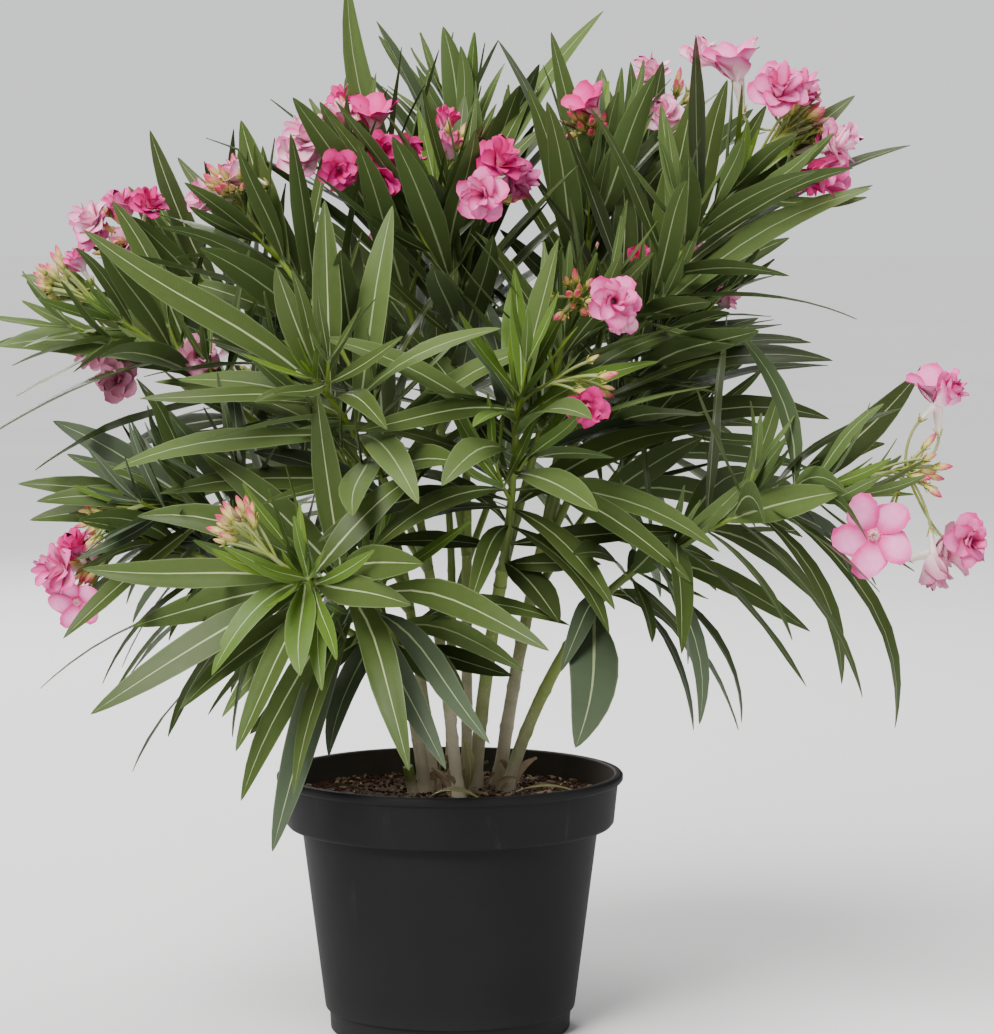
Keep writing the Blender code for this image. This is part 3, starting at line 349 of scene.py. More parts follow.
# Leaf blades: rings at shares of the length, with points across the upper side and a keel below
BLADE_SHARES = (0.0, 0.04, 0.1, 0.18, 0.28, 0.4, 0.52, 0.64, 0.75, 0.85, 0.93, 0.98, 1.0)
BLADE_TOP = (-1, -0.5, 0, 0.5, 1)
BLADE_UNDER = (0,)
BLADE_WIDEST = 0.48
BASE_FULLNESS = 0.95
TIP_FULLNESS = 0.72
PETIOLE_RADIUS = 0.9 * MM
TIP_RADIUS = 0.15 * MM
BLADE_WIDTH_PLAY = (0.94, 1.18)
BLADE_FOLD = (5, 20)
MARGIN_TURN = 0.14
BLADE_TWIST = 0.3
TWIST_CENTRE = 0.3
BLADE_WAVE = 0.1
WAVES = 13
BLADE_SWAY = 0.014
TIP_CURL = (-0.25, 0.1)
CURL_FROM = 0.55
MIDRIB_DIP = 0.3 * MM
MIDRIB_DEPTH = 0.8 * MM
BLADE_THICKNESS = 0.35 * MM
YOUNG_WIDTH_SHARE = 0.13
BOX_MARGIN = 0.1 * MM

# Petals
PETAL_SHARES = (0.0, 0.14, 0.32, 0.52, 0.72, 0.88, 1.0)
PETAL_TOP = (-1, -0.5, 0, 0.5, 1)
PETAL_UNDER = (0.5, 0, -0.5)
PETAL_WIDEST = 0.76
PETAL_TAPER = 0.68
PETAL_END = 0.9
PETAL_FOOT = 0.72
PETAL_ROUNDING = 0.3
PETAL_SLANT = 0.14
PETAL_THICKNESS = 0.45 * MM
OPENING_PACE = 0.9
RUFFLE = (0.02, 0.07)
RUFFLES = 5
TILT_PLAY = (0.6, 1.3)
CUP_PLAY = (0.5, 1.4)
PETAL_PLAY = (0.93, 1.0)
OUTER_START = 0.9
INNER_START = 0.6

# Sepals, stalks and twigs
STALK_SIDES = 6
STALK_RINGS = 7
STALK_PULL = 0.45
STALK_ENTRY = 0.4  # mm that a stalk enters its tube
BLOOM_STALK = (0.8 * MM, 1.0 * MM)
SLIM = 0.95
STOUT = 1.15
TWIG_FINE_RINGS = 8
SEPAL_RING = 1.0 * MM
SEPAL_PLAY = 0.15
BLOOM_SEPALS = (3.5, 5.0)  # their length in mm
BLOOM_SEPAL_SPREAD = 2.2
BUD_SEPALS = 0.34  # their length as a share of the bud's
BUD_SEPAL_SPREAD = 2.0
SUNK = 0.5  # mm that sepals and fringes are sunk into the tube
SEPAL_HALF = 0.9 * MM
SEPAL_THICKNESS = 0.3 * MM
SEPAL_SHARES = (0.0, 0.35, 0.7, 1.0)
SEPAL_FULLNESS = (0.9, 1.0, 0.6, 0.08)

LEAF_SEED = 5
BLOSSOM_SEED = 23
LITTER_SEED = 71
MAP_EDGE = 0.02
SHEET_HALF = 0.23  # of the map's width, on each side of a sheet's midline

# Blossom: layers of petals, the outermost first. Angles in degrees from the way that the bloom faces.
Layer = namedtuple("Layer", "count reach open_foot open_tip width tilt cup offset scatter")
FORMS = {
    "single": (Layer(5, 1, 50, 97, 0.43, 0.12, 0.18, 0, 0.05),),
    "trumpet": (Layer(5, 1, 3, 70, 0.54, 0.14, 0.3, 0, 0.1),),
    "double": (
        Layer(5, 1, 40, 96, 0.5, 0.2, 0.34, 0, 0.16),
        Layer(5, 0.8, 24, 76, 0.46, 0.24, 0.5, 0.6, 0.24),
        Layer(5, 0.5, 2, 34, 0.5, 0.28, 0.6, 0.2, 0.4),
    ),
    "half": (
        Layer(5, 1, 8, 44, 0.66, 0.34, 0.34, 0, 0.06),
        Layer(4, 0.6, 2, 24, 0.6, 0.4, 0.45, 0.5, 0.2),
    ),
}

# Further blooms of the same heads, in gaps between the leaves
MORE_BLOOMS = {
    "top_left": (
        ((-90, 10, 530), (-0.3, -0.9, 0.3), 34, "pale"), ((-65, 10, 550), (-0.2, -0.7, 0.7), 28, "pale"),
        ((-65, -25, 520), (0.1, -0.9, -0.2), 28, "deep"), ((-25, 5, 530), (0.5, -0.8, 0.1), 28, "deep"),
        ((-40, -30, 510), (0.2, -0.9, -0.4), 24, "deep", "half"),
    ),
    "back_left": (
        ((-220, 65, 485), (-0.6, -0.7, 0.4), 32, "pink"), ((-200, 55, 475), (-0.2, -0.9, 0), 26, "pale"),
    ),
    "left_up": (
        ((-145, -25, 505), (-0.9, -0.3, 0.3), 28, "pale", "trumpet"),
        ((-130, -35, 520), (-0.8, -0.2, 0.3), 20, "pale", "half"),
    ),
    "top_mid": (((0, -10, 540), (0.2, -0.3, 0.9), 20, "pink", "half"),),
    "top_front": (((40, -30, 515), (0.8, -0.6, 0), 30, "pink"),),
    "back_top_right": (((130, 55, 555), (0, -0.9, 0.3), 28, "pale"),),
    "top_right": (
        ((205, -65, 565), (0.3, -0.6, 0.8), 28, "pink"), ((225, -70, 535), (0.8, -0.5, 0.4), 32, "pale"),
        ((225, -75, 515), (0.7, -0.6, -0.1), 28, "pink", "half"),
    ),
    "right_mid": (
        ((145, 0, 465), (0.4, -0.8, 0.3), 32, "pale"), ((170, 0, 445), (0.9, -0.4, 0.1), 18, "pale", "half"),
        ((115, 0, 470), (0, -0.8, 0.6), 18, "deep", "half"),
    ),
    "centre_high": (((100, -95, 435), (-0.3, -0.8, -0.5), 24, "pale"),),
    "right_low": (
        ((295, -70, 395), (0.6, -0.4, 0.7), 22, "pink", "half"),
        ((303, -85, 305), (0.3, -0.9, 0.1), 34, "pink"),
    ),
    "low_left": (((-215, -40, 302), (-0.3, -0.5, 0.8), 22, "pale", "half"),),
    "far_left": (
        ((-225, -10, 470), (-0.5, -0.4, 0.8), 16, "pink", "half"),
        ((-200, 0, 395), (-0.3, -0.9, 0), 30, "faded"), ((-150, -10, 410), (0.2, -0.9, 0.2), 28, "faded"),
    ),
}
BLOOM_NECK = 12 * MM
THROAT_REACH = {"single": 0.17, "trumpet": 0.2, "double": 0.13, "half": 0.22}
# The faded tint is partly the dull colour of spent blooms, partly painted shade on blooms that stand in
# shade.
TINTS = ("pale", "pink", "deep", "faded")
TUBE_SHARE = 0.75
TUBE_EXTRA = 6 * MM
TUBE_MOST = 0.7
TUBE_SHARES = (0.0, 0.3, 0.55, 0.8, 1.0, 1.0, 0.93, 0.87)
TUBE_RADII = (0.48, 0.54, 0.7, 0.92, 1.06, 0.92, 0.6, 0.15)
FRINGE_TEETH = 3
FRINGE_SIDES = 4
FRINGE_RING = 0.9
FRINGE_LEAN = (0.1, 0.5)
FRINGE_REACH = (0.1, 0.2)
FRINGE_SHARES = (0.0, 0.5, 1.0)
FRINGE_RADII = (0.8, 0.6, 0.2)  # in mm
BUD_SIDES = 8
TUBE_SIDES = 10
BUD_SHARES = (0.0, 0.12, 0.28, 0.48, 0.7, 0.88, 1.0)
BUD_RADII = (0.32, 0.46, 0.68, 0.84, 0.72, 0.4, 0.08)
BUD_TWIST = 0.3
BUD_FLATNESS = 0.1
BUD_STALK_RISE = 0.1
WITHERED_SHARE = 0.12
WITHERING_SIZE = 0.99
WITHERED_BEND = 1.5  # in mm
WITHERED_GIRTH = 0.7

# Leaf tones, partly their own colours and partly painted light, shade and sheen, and the bands of their map
TONES = ("deep", "green", "grey", "light", "fresh", "young")
LEAF_BANDS = 3
LEAF_ROUGHNESS = 0.4
VEINS = 84
VEIN_SLANT = 2.2
BACK_COLOUR = (0.09, 0.135, 0.045)
DRY_COLOUR = (0.3, 0.2, 0.08)
SUNLIGHT = (1, 1, 0.6)
BLACK = (0, 0, 0)
WHITE = (1, 1, 1)

# Wood
CANE_FINE_SIDES = 16
BOUGH_FINE_SIDES = 12
KNOT_SPACING = (26, 42)
FIRST_CANE_KNOT = (0.04, 0.1)
FIRST_BOUGH_KNOT = 0.08
KNOT_ROOM = 8 * MM
KNOT_RING = 0.5
KNOT_LENGTH = 2.2 * MM
SCAR_LENGTH = 1.5 * MM
SCAR_WIDTH = 0.55  # in radians
BROAD_RELIEF = 120
FINE_RELIEF = 420
FINE_SHARE = 0.6
PLANTED_DEPTH = 3 * MM
GREEN_CANES = ("cane_right", "cane_centre")
CANE_STUB = ((-22, -16, 145), (-25, -20, 163))
STUB_RADIUS = 3.2 * MM
STUB_KNOTS = (0.4,)
COLLAR_FLARE = 0.35
COLLAR_SHARE = 0.035

# Pot, soil and litter
POT_SIDES = 128
POT_FLOOR = 0.003
POT_SHARP_ANGLE = 40
EDGE_ROUNDING = 0.0005
DRAIN_RING = 52 * MM
DRAIN_SIDES = 32
DRAIN_CUT = 0.02
COLLAR_SLOPE = 0.078  # how fast the collar widens
COLLAR_INSIDE = (0.098, 0.099)  # radii within its wall, less that widening
# Laid inside the collar: partly dust, partly a painted reflection.
DUST_AND_REFLECTION_COLOUR = (0.6, 0.5, 0.4)
SOIL_FLAT = 60 * MM
SOIL_EDGE_DROP = 4 * MM
SOIL_SIDES = 96
SOIL_STEP = 3.2 * MM
SOIL_ROOM = 95 * MM
SOIL_OVERLAP = 0.0008  # of the mix with the wall
SOIL_SKIRT = 0.008
SOIL_RIM = 0.003
SOIL_LUMPS = ((55, 1.3), (190, 0.7))  # how many to the metre, and their height in mm
SOIL_SETTLING = 1.2  # in mm
CRUMB_COLOUR = (0.3, 0.12, 0.05)
FIBRE_COLOUR = (0.16, 0.09, 0.05)
DRY_LIGHT = (1, 0.95, 0.85)
CRUMB_SIZE = (0.45, 1.25)  # half a crumb's width in mm
LUMP_RADII = ((0.35, 0.7), (0.7, 1.0), (0.3, 0.6))
LUMP_SIDES = 5
LUMP_TILT = 0.35
LUMP_TWIST = 0.4
CRUMB_RISE = 0.25
CRUMB_LENGTH = 1.1
CHIP_LENGTH = 2.2
PALE_SHARE = 0.2
PALE_ON_RIGHT = 1.8
PALE_ON_LEFT = 0.8
SHEATHS = 4
SHEATH_ROOM = 9
SHEATH_LENGTH = (10, 24)
SHEATH_WIDTH = 0.2
SHEATH_RISE = (0.2, 1.4)
SHEATH_BEND = 0.6
SHEATH_FLAT = 0.4
DEAD_ROLL = 0.3
DEAD_FLAT = 0.6
DEAD_LEAVES = (  # where each starts, bends and ends in mm, and its width as a share of its length
    ((-50, -30, 149), (-62, -32, 158), (-78, -35, 151), 0.1),
    ((10, -35, 148), (16, -45, 165), (8, -50, 186), 0.14),
    ((-12, -50, 149), (2, -58, 160), (18, -62, 150), 0.16),
    ((40, -28, 149), (58, -30, 156), (76, -22, 149), 0.08),
)

# Stage
FLOOR_RADIUS = 40.0
FLOOR_SIDES = 96
WORLD_COLOUR = (0.97, 0.98, 1.0)
WORLD_LIGHT = 0.27  # what falls on the plant
WORLD_SEEN = 1.0  # and the backdrop as it is seen
LAMPS = (  # place and aim in metres, width, power and colour
    ("key", (-1.1, -2.6, 2.0), (0, 0, 0.35), 1.1, 64, (1.0, 0.99, 0.97)),
    ("fill", (2.4, -1.8, 1.2), (0, 0, 0.35), 1.6, 8, (0.97, 0.98, 1.0)),
    ("top", (0.2, 0.6, 2.6), (0, 0, 0.3), 1.4, 34, (1.0, 1.0, 1.0)),
    ("back", (-0.8, 2.4, 1.6), (0, 0, 0.4), 1.4, 40, (1.0, 1.0, 1.0)),
)
SUN = ((-0.45, -0.75, 1.0), 4.1, 35)  # the way it comes from, its strength and its angle in degrees
CAMERA_PLACE = (0.0285, -2.2, 0.495)
CAMERA_PITCH = -4.76
CAMERA_SENSOR = 36.0
CAMERA_FOCUS = 127.4
CAMERA_REACH = 50


class Arc(namedtuple("Arc", "start bend end")):
    """A bow from start to end that sets off from start towards bend."""

    def point(self, share):
        return self.start.lerp(self.bend, share).lerp(self.bend.lerp(self.end, share), share)

    def way(self, share):
        return (self.bend.lerp(self.end, share) - self.start.lerp(self.bend, share)).normalized()

    def span(self):
        return (self.end - self.start).length


def in_mm(values):
    return Vector(values) * MM


def level_side(way):
    """A level direction square to way."""
    side = way.cross(UP)
    return side.normalized() if side.length > UPRIGHT else Vector((1, 0, 0))


def turned(vector, axis, angle):
    return Quaternion(axis, angle) @ vector


def opened(axis, turn, opening):
    """A way that opens from an axis, turned about it, both in degrees."""
    out = turned(level_side(axis), axis, radians(turn))
    return axis * cos(radians(opening)) + out * sin(radians(opening))


def tube(points, ways, radii, sides, level_foot=False):
    """A limb: one ring of corners about each point, and a flat cap at both ends."""
    verts = []
    faces = []
    side = level_side(ways[0])
    for ring, (point, way, radius) in enumerate(zip(points, ways, radii)):
        side = (side - way * side.dot(way)).normalized()
        for corner in range(sides):
            spoke = turned(side, way, TURN * corner / sides) * radius
            if level_foot and ring == 0:
                spoke.z = 0
            verts.append(point + spoke)
    for ring in range(len(points) - 1):
        for corner in range(sides):
            here = ring * sides + corner
            beside = ring * sides + (corner + 1) % sides
            faces.append((here, beside, beside + sides, here + sides))
    faces.append(tuple(reversed(range(sides))))
    last = (len(points) - 1) * sides
    faces.append(tuple(range(last, last + sides)))
    return verts, faces


def limb(arc, start, end, radius_at, rings, sides, level_foot=False):
    """The stretch of a limb's arc between two shares of it."""
    shares = [start + (end - start) * ring / (rings - 1) for ring in range(rings)]
    return tube(
        [arc.point(share) for share in shares],
        [arc.way(share) for share in shares],
        [radius_at(share) for share in shares],
        sides,
        level_foot,
    )


def cane_arc(cane):
    foot = Vector((cane.foot[0] * MM, cane.foot[1] * MM, SOIL_LEVEL + GAP))
    fork = in_mm(cane.fork)
    run = fork - foot
    lean = Vector((run.x, run.y, 0)) * CANE_LEAN
    return Arc(foot, foot + UP * run.length * CANE_RISE + lean, fork)


def cane_radius(cane):
    """The radius along a cane, which flares at its foot."""

    def radius_at(share):
        flare = (FOOT_FLARE - 1) * max(0.0, 1 - share / FLARE_SHARE)
        taper = cane.foot_radius + (cane.fork_radius - cane.foot_radius) * share
        return taper * (1 + flare) * MM

    return radius_at


def shoot_arc(shoot):
    """A shoot carries its cane on, or leaves the cane's side, on its way to the tip."""
    cane = cane_arc(CANES[shoot.cane])
    start = cane.point(shoot.at)
    tip = in_mm(shoot.tip)
    run = tip - start
    if shoot.at == 1.0:
        return Arc(start, start + cane.way(1.0) * run.length * RUN_ON_SHARE, tip)
    set_off = (cane.way(shoot.at) * CANE_PULL + run.normalized()).normalized()
    return Arc(start, start + set_off * run.length * SET_OFF_SHARE, tip)


def tapering(radius, end_radius):
    return lambda share: radius + (end_radius - radius) * share


def shoot_radius(shoot):
    return tapering(CANES[shoot.cane].fork_radius * FORK_THINNING * MM, STEM_TIP_RADIUS)


def has_bough(shoot):
    return shoot.at < 1.0 or shoot.bare > LONG_BARE_FOOT


def share_of_gap(arc):
    """The share of an arc that makes the gap between two pieces in line."""
    return GAP / arc.span()


def leaf_shape(arc, face, roll, width, sections, grown=0.0, foot=0.0):
    """A leaf: a point at its root and its tip, and between them sections with two edges and a keel."""
    verts = [arc.point(foot)]
    for share, fullness in sections:
        way = arc.way(share)
        across = turned(way.cross(face).normalized(), way, roll)
        over = across.cross(way)
        half = width / 2 * fullness + grown
        middle = arc.point(share)
        verts.append(middle + across * half + over * grown)
        verts.append(middle - across * half + over * grown)
        verts.append(middle - over * (width * LEAF_DEPTH_SHARE + grown))
    verts.append(arc.point(1.0))
    tip = len(verts) - 1
    faces = [(0, 1, 2), (0, 2, 3), (0, 3, 1)]
    for first in range(1, tip - 3, 3):
        for near, far in ((0, 1), (1, 2), (2, 0)):
            faces.append((first + near, first + near + 3, first + far + 3, first + far))
    faces += [(tip - 3, tip, tip - 2), (tip - 2, tip, tip - 1), (tip - 1, tip, tip - 3)]
    return verts, faces


def bloom_shape(foot, bloom):
    """A funnel: its foot in the head, a neck, the ends and notches of five petals, and the throat."""
    mouth, width = in_mm(bloom.mouth), bloom.width * MM
    way = in_mm(bloom.faces).normalized()
    side = level_side(way)
    neck = mouth - way * width * NECK_SHARE
    verts = [foot]
    for corner in range(PETALS):
        spoke = turned(side, way, TURN * corner / PETALS)
        verts.append(neck + spoke * width * TUBE_RADIUS_SHARE)
    for corner in range(2 * PETALS):
        spoke = turned(side, way, pi * corner / PETALS)
        reach = 0.5 if corner % 2 == 0 else 0.5 * NOTCH_SHARE
        verts.append(mouth + spoke * width * reach)
    throat = len(verts)
    verts.append(mouth - way * width * THROAT_SHARE)
    faces = []
    for corner in range(PETALS):
        neck_here = 1 + corner
        neck_next = 1 + (corner + 1) % PETALS
        petal = 1 + PETALS + 2 * corner
        notch = petal + 1
        petal_next = 1 + PETALS + (2 * corner + 2) % (2 * PETALS)
        faces += [(0, neck_next, neck_here), (neck_here, notch, petal), (neck_here, neck_next, notch)]
        faces += [(neck_next, petal_next, notch), (petal, notch, throat), (notch, petal_next, throat)]
    return verts, faces


def bud_shape(start, end):
    """A bud on its stalk, which swells to the bud's middle and ends in a point."""
    way = (end - start).normalized()
    middle = end - way * BUD_LENGTH * BUD_MIDDLE
    verts, faces = tube([start, middle], [way] * 2, [STALK_RADIUS, BUD_RADIUS], STEM_SIDES)
    faces.pop()
    verts.append(end)
    faces += [(3, 4, 6), (4, 5, 6), (5, 3, 6)]
    return verts, faces


class Solid:
    """A closed shape that can be tested against others."""

    def __init__(self, shape):
        self.verts, self.faces = shape
        self.low = Vector(min(vert[axis] for vert in self.verts) for axis in range(3))
        self.high = Vector(max(vert[axis] for vert in self.verts) for axis in range(3))
        self.tree = None

    def surface(self):
        self.tree = self.tree or BVHTree.FromPolygons(self.verts, self.faces)
        return self.tree

    def touches(self, other):
        if any(self.low[axis] > other.high[axis] or self.high[axis] < other.low[axis] for axis in range(3)):
            return False
        return bool(self.surface().overlap(other.surface()))


class Plant:
    """All that has grown, in its order, and the room it takes. What would touch it is turned or left out."""

    def __init__(self):
        self.taken = []
        self.leaves, self.twigs = [], []
        self.peduncles, self.blooms, self.buds = [], [], []

    def add(self, owner, shape, own_shape=None):
        """Other masses keep clear of shape, and the owner's next leaves of own_shape."""
        self.taken.append((owner, Solid(shape), Solid(own_shape or shape)))

    def clear(self, owner, shape, own_shape=None):
        """Whether shape is clear of other masses and limbs, and own_shape of the owner's own."""
        whole = Solid(shape)
        own = Solid(own_shape) if own_shape else None
        for other_owner, other, other_own in self.taken:
            if other_owner != owner and whole.touches(other):
                return False
            if other_owner == owner and own and own.touches(other_own):
                return False
        return True


def leaf_choices(root, tip_way, bend_way, axis, length):
    """The same leaf turned about its stem and lifted by small steps, the plain one first."""
    for lift in LIFTS_TRIED:
        for turn in TURNS_TRIED:
            spin = Quaternion(axis, radians(turn))
            hinge = axis.cross(bend_way).normalized()
            raised = Quaternion(hinge, radians(lift))
            tip = root + spin @ (raised @ tip_way) * length
            bend = root + spin @ (raised @ bend_way) * length
            yield Arc(root, bend, tip)


def whorl_length(shoot, rise):
    """Leaves are longest at the shoot's middle and shortest at its tip."""
    swell = sin(pi * min(1.0, rise * SWELL_PACE))
    length = shoot.leaf * MM * (LOWEST_LEAF_SHARE + LENGTH_SWELL * swell)
    return length * YOUNG_LEAF_SHARE if rise > YOUNG_RISE else length


def head_arc(head, shoot_line):
    start = shoot_line.point(head.at)
    middle = in_mm(head.middle)
    run = (middle - start).length
    return Arc(start, start + shoot_line.way(head.at) * run * PEDUNCLE_BEND, middle)


Leaf = namedtuple("Leaf", "arc face roll width tone")
OpenBloom = namedtuple("OpenBloom", "foot bloom")
Bud = namedtuple("Bud", "start end length radius")


def find_room(plant, name, choices, axis, roll, width, sections):
    """The arc and face of the first choice that has room; nothing if all of them touch."""
    for arc in choices:
        chord = (arc.end - arc.start).normalized()
        face = (axis - chord * axis.dot(chord)).normalized()
        trial = leaf_shape(arc, face, roll, width, sections, CLEARANCE)
        beyond_root = leaf_shape(arc, face, roll, width, sections, 0.0, ROOT_SHARE)
        if plant.clear(name, trial, beyond_root):
            plant.add(name, leaf_shape(arc, face, roll, width, sections), beyond_root)
            return arc, face
    return None


def grow_placed_leaves(plant, name, arc):
    for row in PLACED_LEAVES.get(name, ()):
        leaf = PlacedLeaf(*row)
        root = arc.point(leaf.at)
        axis = arc.way(leaf.at)
        run = in_mm(leaf.tip) - root
        chord = run.normalized()
        bow = (axis - chord * axis.dot(chord)).normalized() * leaf.bow
        choices = leaf_choices(root, chord, chord * LEAF_BEND + bow, axis, run.length)
        roll = radians(leaf.roll)
        width = leaf.width * MM
        room = find_room(plant, name, choices, axis, roll, width, PLACED_SECTIONS)
        if room:
            plant.leaves.append(Leaf(*room, roll, width, leaf.tone))


def whorl_share(shoot, rise):
    return shoot.bare + (LAST_WHORL - shoot.bare) * (1 - (1 - rise) ** WHORL_CROWDING)


def whorl_tone(shoot, rise, dice):
    """A leaf's tone by its height on the shoot, now and then its neighbour's, at random grey: partly painted
    light, shade and sheen.
    """
    low, middle, high = shoot.tones.split()
    tone = low if rise < LOW_TONE_RISE else high if rise > HIGH_TONE_RISE else middle
    draw = dice.random()
    return "grey" if draw < GREY_SHARE else middle if draw > 1 - STRAY_TONE_SHARE else tone


def grow_whorls(plant, name, shoot, arc):
    dice = Random(shoot.seed)
    tone_dice = Random(name)
    for whorl in range(shoot.whorls):
        rise = (whorl + 0.5) / shoot.whorls
        at = whorl_share(shoot, rise)
        root, axis = arc.point(at), arc.way(at)
        opening = shoot.open_low + (shoot.open_high - shoot.open_low) * rise
        for leaf in range(WHORL_LEAVES):
            azimuth = shoot.turn + WHORL_TURN * whorl + 360 / WHORL_LEAVES * leaf
            azimuth += dice.uniform(-AZIMUTH_PLAY, AZIMUTH_PLAY)
            angle = opening + dice.uniform(-OPENING_PLAY, OPENING_PLAY)
            way = opened(axis, azimuth, angle).normalized()
            length = whorl_length(shoot, rise) * dice.uniform(*LENGTH_PLAY)
            fall = shoot.droop * dice.uniform(*FALL_PLAY)
            roll = dice.uniform(-ROLL_PLAY, ROLL_PLAY)
            tip_way = (way - UP * fall).normalized()
            choices = leaf_choices(root, tip_way, way * LEAF_BEND, axis, length)
            width = min(length * LEAF_WIDTH_SHARE, WIDEST_LEAF)
            room = find_room(plant, name, choices, axis, roll, width, WHORL_SECTIONS)
            if room:
                plant.leaves.append(Leaf(*room, roll, width, whorl_tone(shoot, rise, tone_dice)))


def grow_head(plant, name, head_name, head, shoot_line):
    """The peduncle, blooms and buds of one head, each where it has room."""
    arc = head_arc(head, shoot_line)
    axis = arc.way(1.0)
    root = arc.end - axis * PEDUNCLE_END_RADIUS
    radius_at = tapering(PEDUNCLE_RADIUS, PEDUNCLE_END_RADIUS)
    peduncle = limb(arc, 0.0, 1.0, radius_at, PEDUNCLE_RINGS, STEM_SIDES)
    parts = [(plant.peduncles, arc, peduncle)]
    for bloom in (Bloom(*row) for row in BLOOMS.get(head_name, ())):
        parts.append((plant.blooms, OpenBloom(root, bloom), bloom_shape(root, bloom)))
    for end in bud_ends(arc, head.buds, Random(head.seed), BUD_REACH):
        parts.append((plant.buds, Bud(root, end, BUD_LENGTH, BUD_RADIUS), bud_shape(root, end)))
    for kind, part, shape in parts:
        if plant.clear(name, shape) and in_reach(shape[0][-1]):
            plant.add(name, shape)
            kind.append(part)


def grow_small_buds(plant, head_name, head):
    """Smaller buds between those of a head, where other masses leave them room."""
    arc = head_arc(head, shoot_arc(SHOOTS[head.shoot]))
    dice = Random("head_" + head_name)
    for end in bud_ends(arc, head.all_buds - head.buds, dice, SMALL_BUD_REACH):
        size = dice.uniform(*SMALL_BUD_SIZE)
        start = arc.point(dice.uniform(*SMALL_BUD_START))
        shape = bud_shape(start, end)
        if plant.clear(head.shoot, shape) and in_reach(end):
            plant.add(head.shoot, shape)
            plant.buds.append(Bud(start, end, BUD_LENGTH * size, BUD_RADIUS * size))


def bud_ends(arc, count, dice, reach):
    """Where the buds of a head end, set round its middle by the golden angle."""
    for bud in range(count):
        turn = GOLDEN_ANGLE * bud + dice.uniform(-BUD_TURN_PLAY, BUD_TURN_PLAY)
        opening = BUD_OPENING * sqrt((bud + 0.5) / count)
        opening += dice.uniform(-BUD_OPENING_PLAY, BUD_OPENING_PLAY)
        yield arc.end + opened(arc.way(1.0), turn, opening) * reach * dice.uniform(*BUD_REACH_PLAY)


def in_reach(point):
    """Whether a point lies inside the room of the solids."""
    low, high = CAD_BOX
    return all(low[axis] + REACH_MARGIN < point[axis] < high[axis] - REACH_MARGIN for axis in range(3))


def grow_young_whorl(plant, name, line, at, turn, opening, leaf_length, tone, dice):
    """Three young leaves, each where it has room within the plant's reach."""
    axis = line.way(at)
    for leaf in range(WHORL_LEAVES):
        azimuth = turn + 360 / WHORL_LEAVES * leaf + dice.uniform(-AZIMUTH_PLAY, AZIMUTH_PLAY)
        way = opened(axis, azimuth, opening + dice.uniform(-YOUNG_PLAY, YOUNG_PLAY))
        length = leaf_length * dice.uniform(*LENGTH_PLAY)
        tip_way = (way + UP * YOUNG_LIFT).normalized()
        choices = leaf_choices(line.point(at), tip_way, way * LEAF_BEND, axis, length)
        choices = (arc for arc in choices if in_reach(arc.end))
        width = length * YOUNG_WIDTH_SHARE
        room = find_room(plant, name, choices, axis, 0.0, width, WHORL_SECTIONS)
        if room:
            plant.leaves.append(Leaf(*room, 0.0, width, tone))


def grow_twigs(plant, name, shoot, arc, count):
    """The finer twigs of a shoot, each with whorls of young leaves, and those at the shoot's tip."""
    dice = Random(name + "_twigs")
    for opening, length in TIP_WHORLS:
        turn = shoot.turn + dice.uniform(0, 360 / WHORL_LEAVES)
        # The tip leaves of sunlit shoots take the brighter young tone as painted light, the others the fresh
        # tone.
        tone = "young" if name in SUNLIT else "fresh"
        grow_young_whorl(plant, name, arc, 1.0, turn, opening, length * MM, tone, dice)
    for twig in range(count):
        rise = FIRST_TWIG + (LAST_TWIG - FIRST_TWIG) * twig / max(1, count - 1)
        at = shoot.bare + (1 - shoot.bare) * rise
        root = arc.point(at)
        axis = arc.way(at)
        way = opened(axis, shoot.turn + GOLDEN_ANGLE * twig, dice.uniform(*TWIG_OPENING))
        length = dice.uniform(*TWIG_LENGTH) * MM
        line = Arc(root, root + way * length / 2, root + (way + UP * TWIG_LIFT).normalized() * length)
        shape = limb(line, 0.0, 1.0, tapering(TWIG_RADIUS, TWIG_TIP_RADIUS), STEM_RINGS, STEM_SIDES)
        if not (in_reach(line.end) and plant.clear(name, shape)):
            continue
        plant.add(name, shape)
        plant.twigs.append(line)
        for share, opening, leaf_length in TWIG_WHORLS:
            turn = dice.uniform(0, 360 / WHORL_LEAVES)
            tone = shoot.tones.split()[2]
            grow_young_whorl(plant, name, line, share, turn, opening, leaf_length * MM, tone, dice)


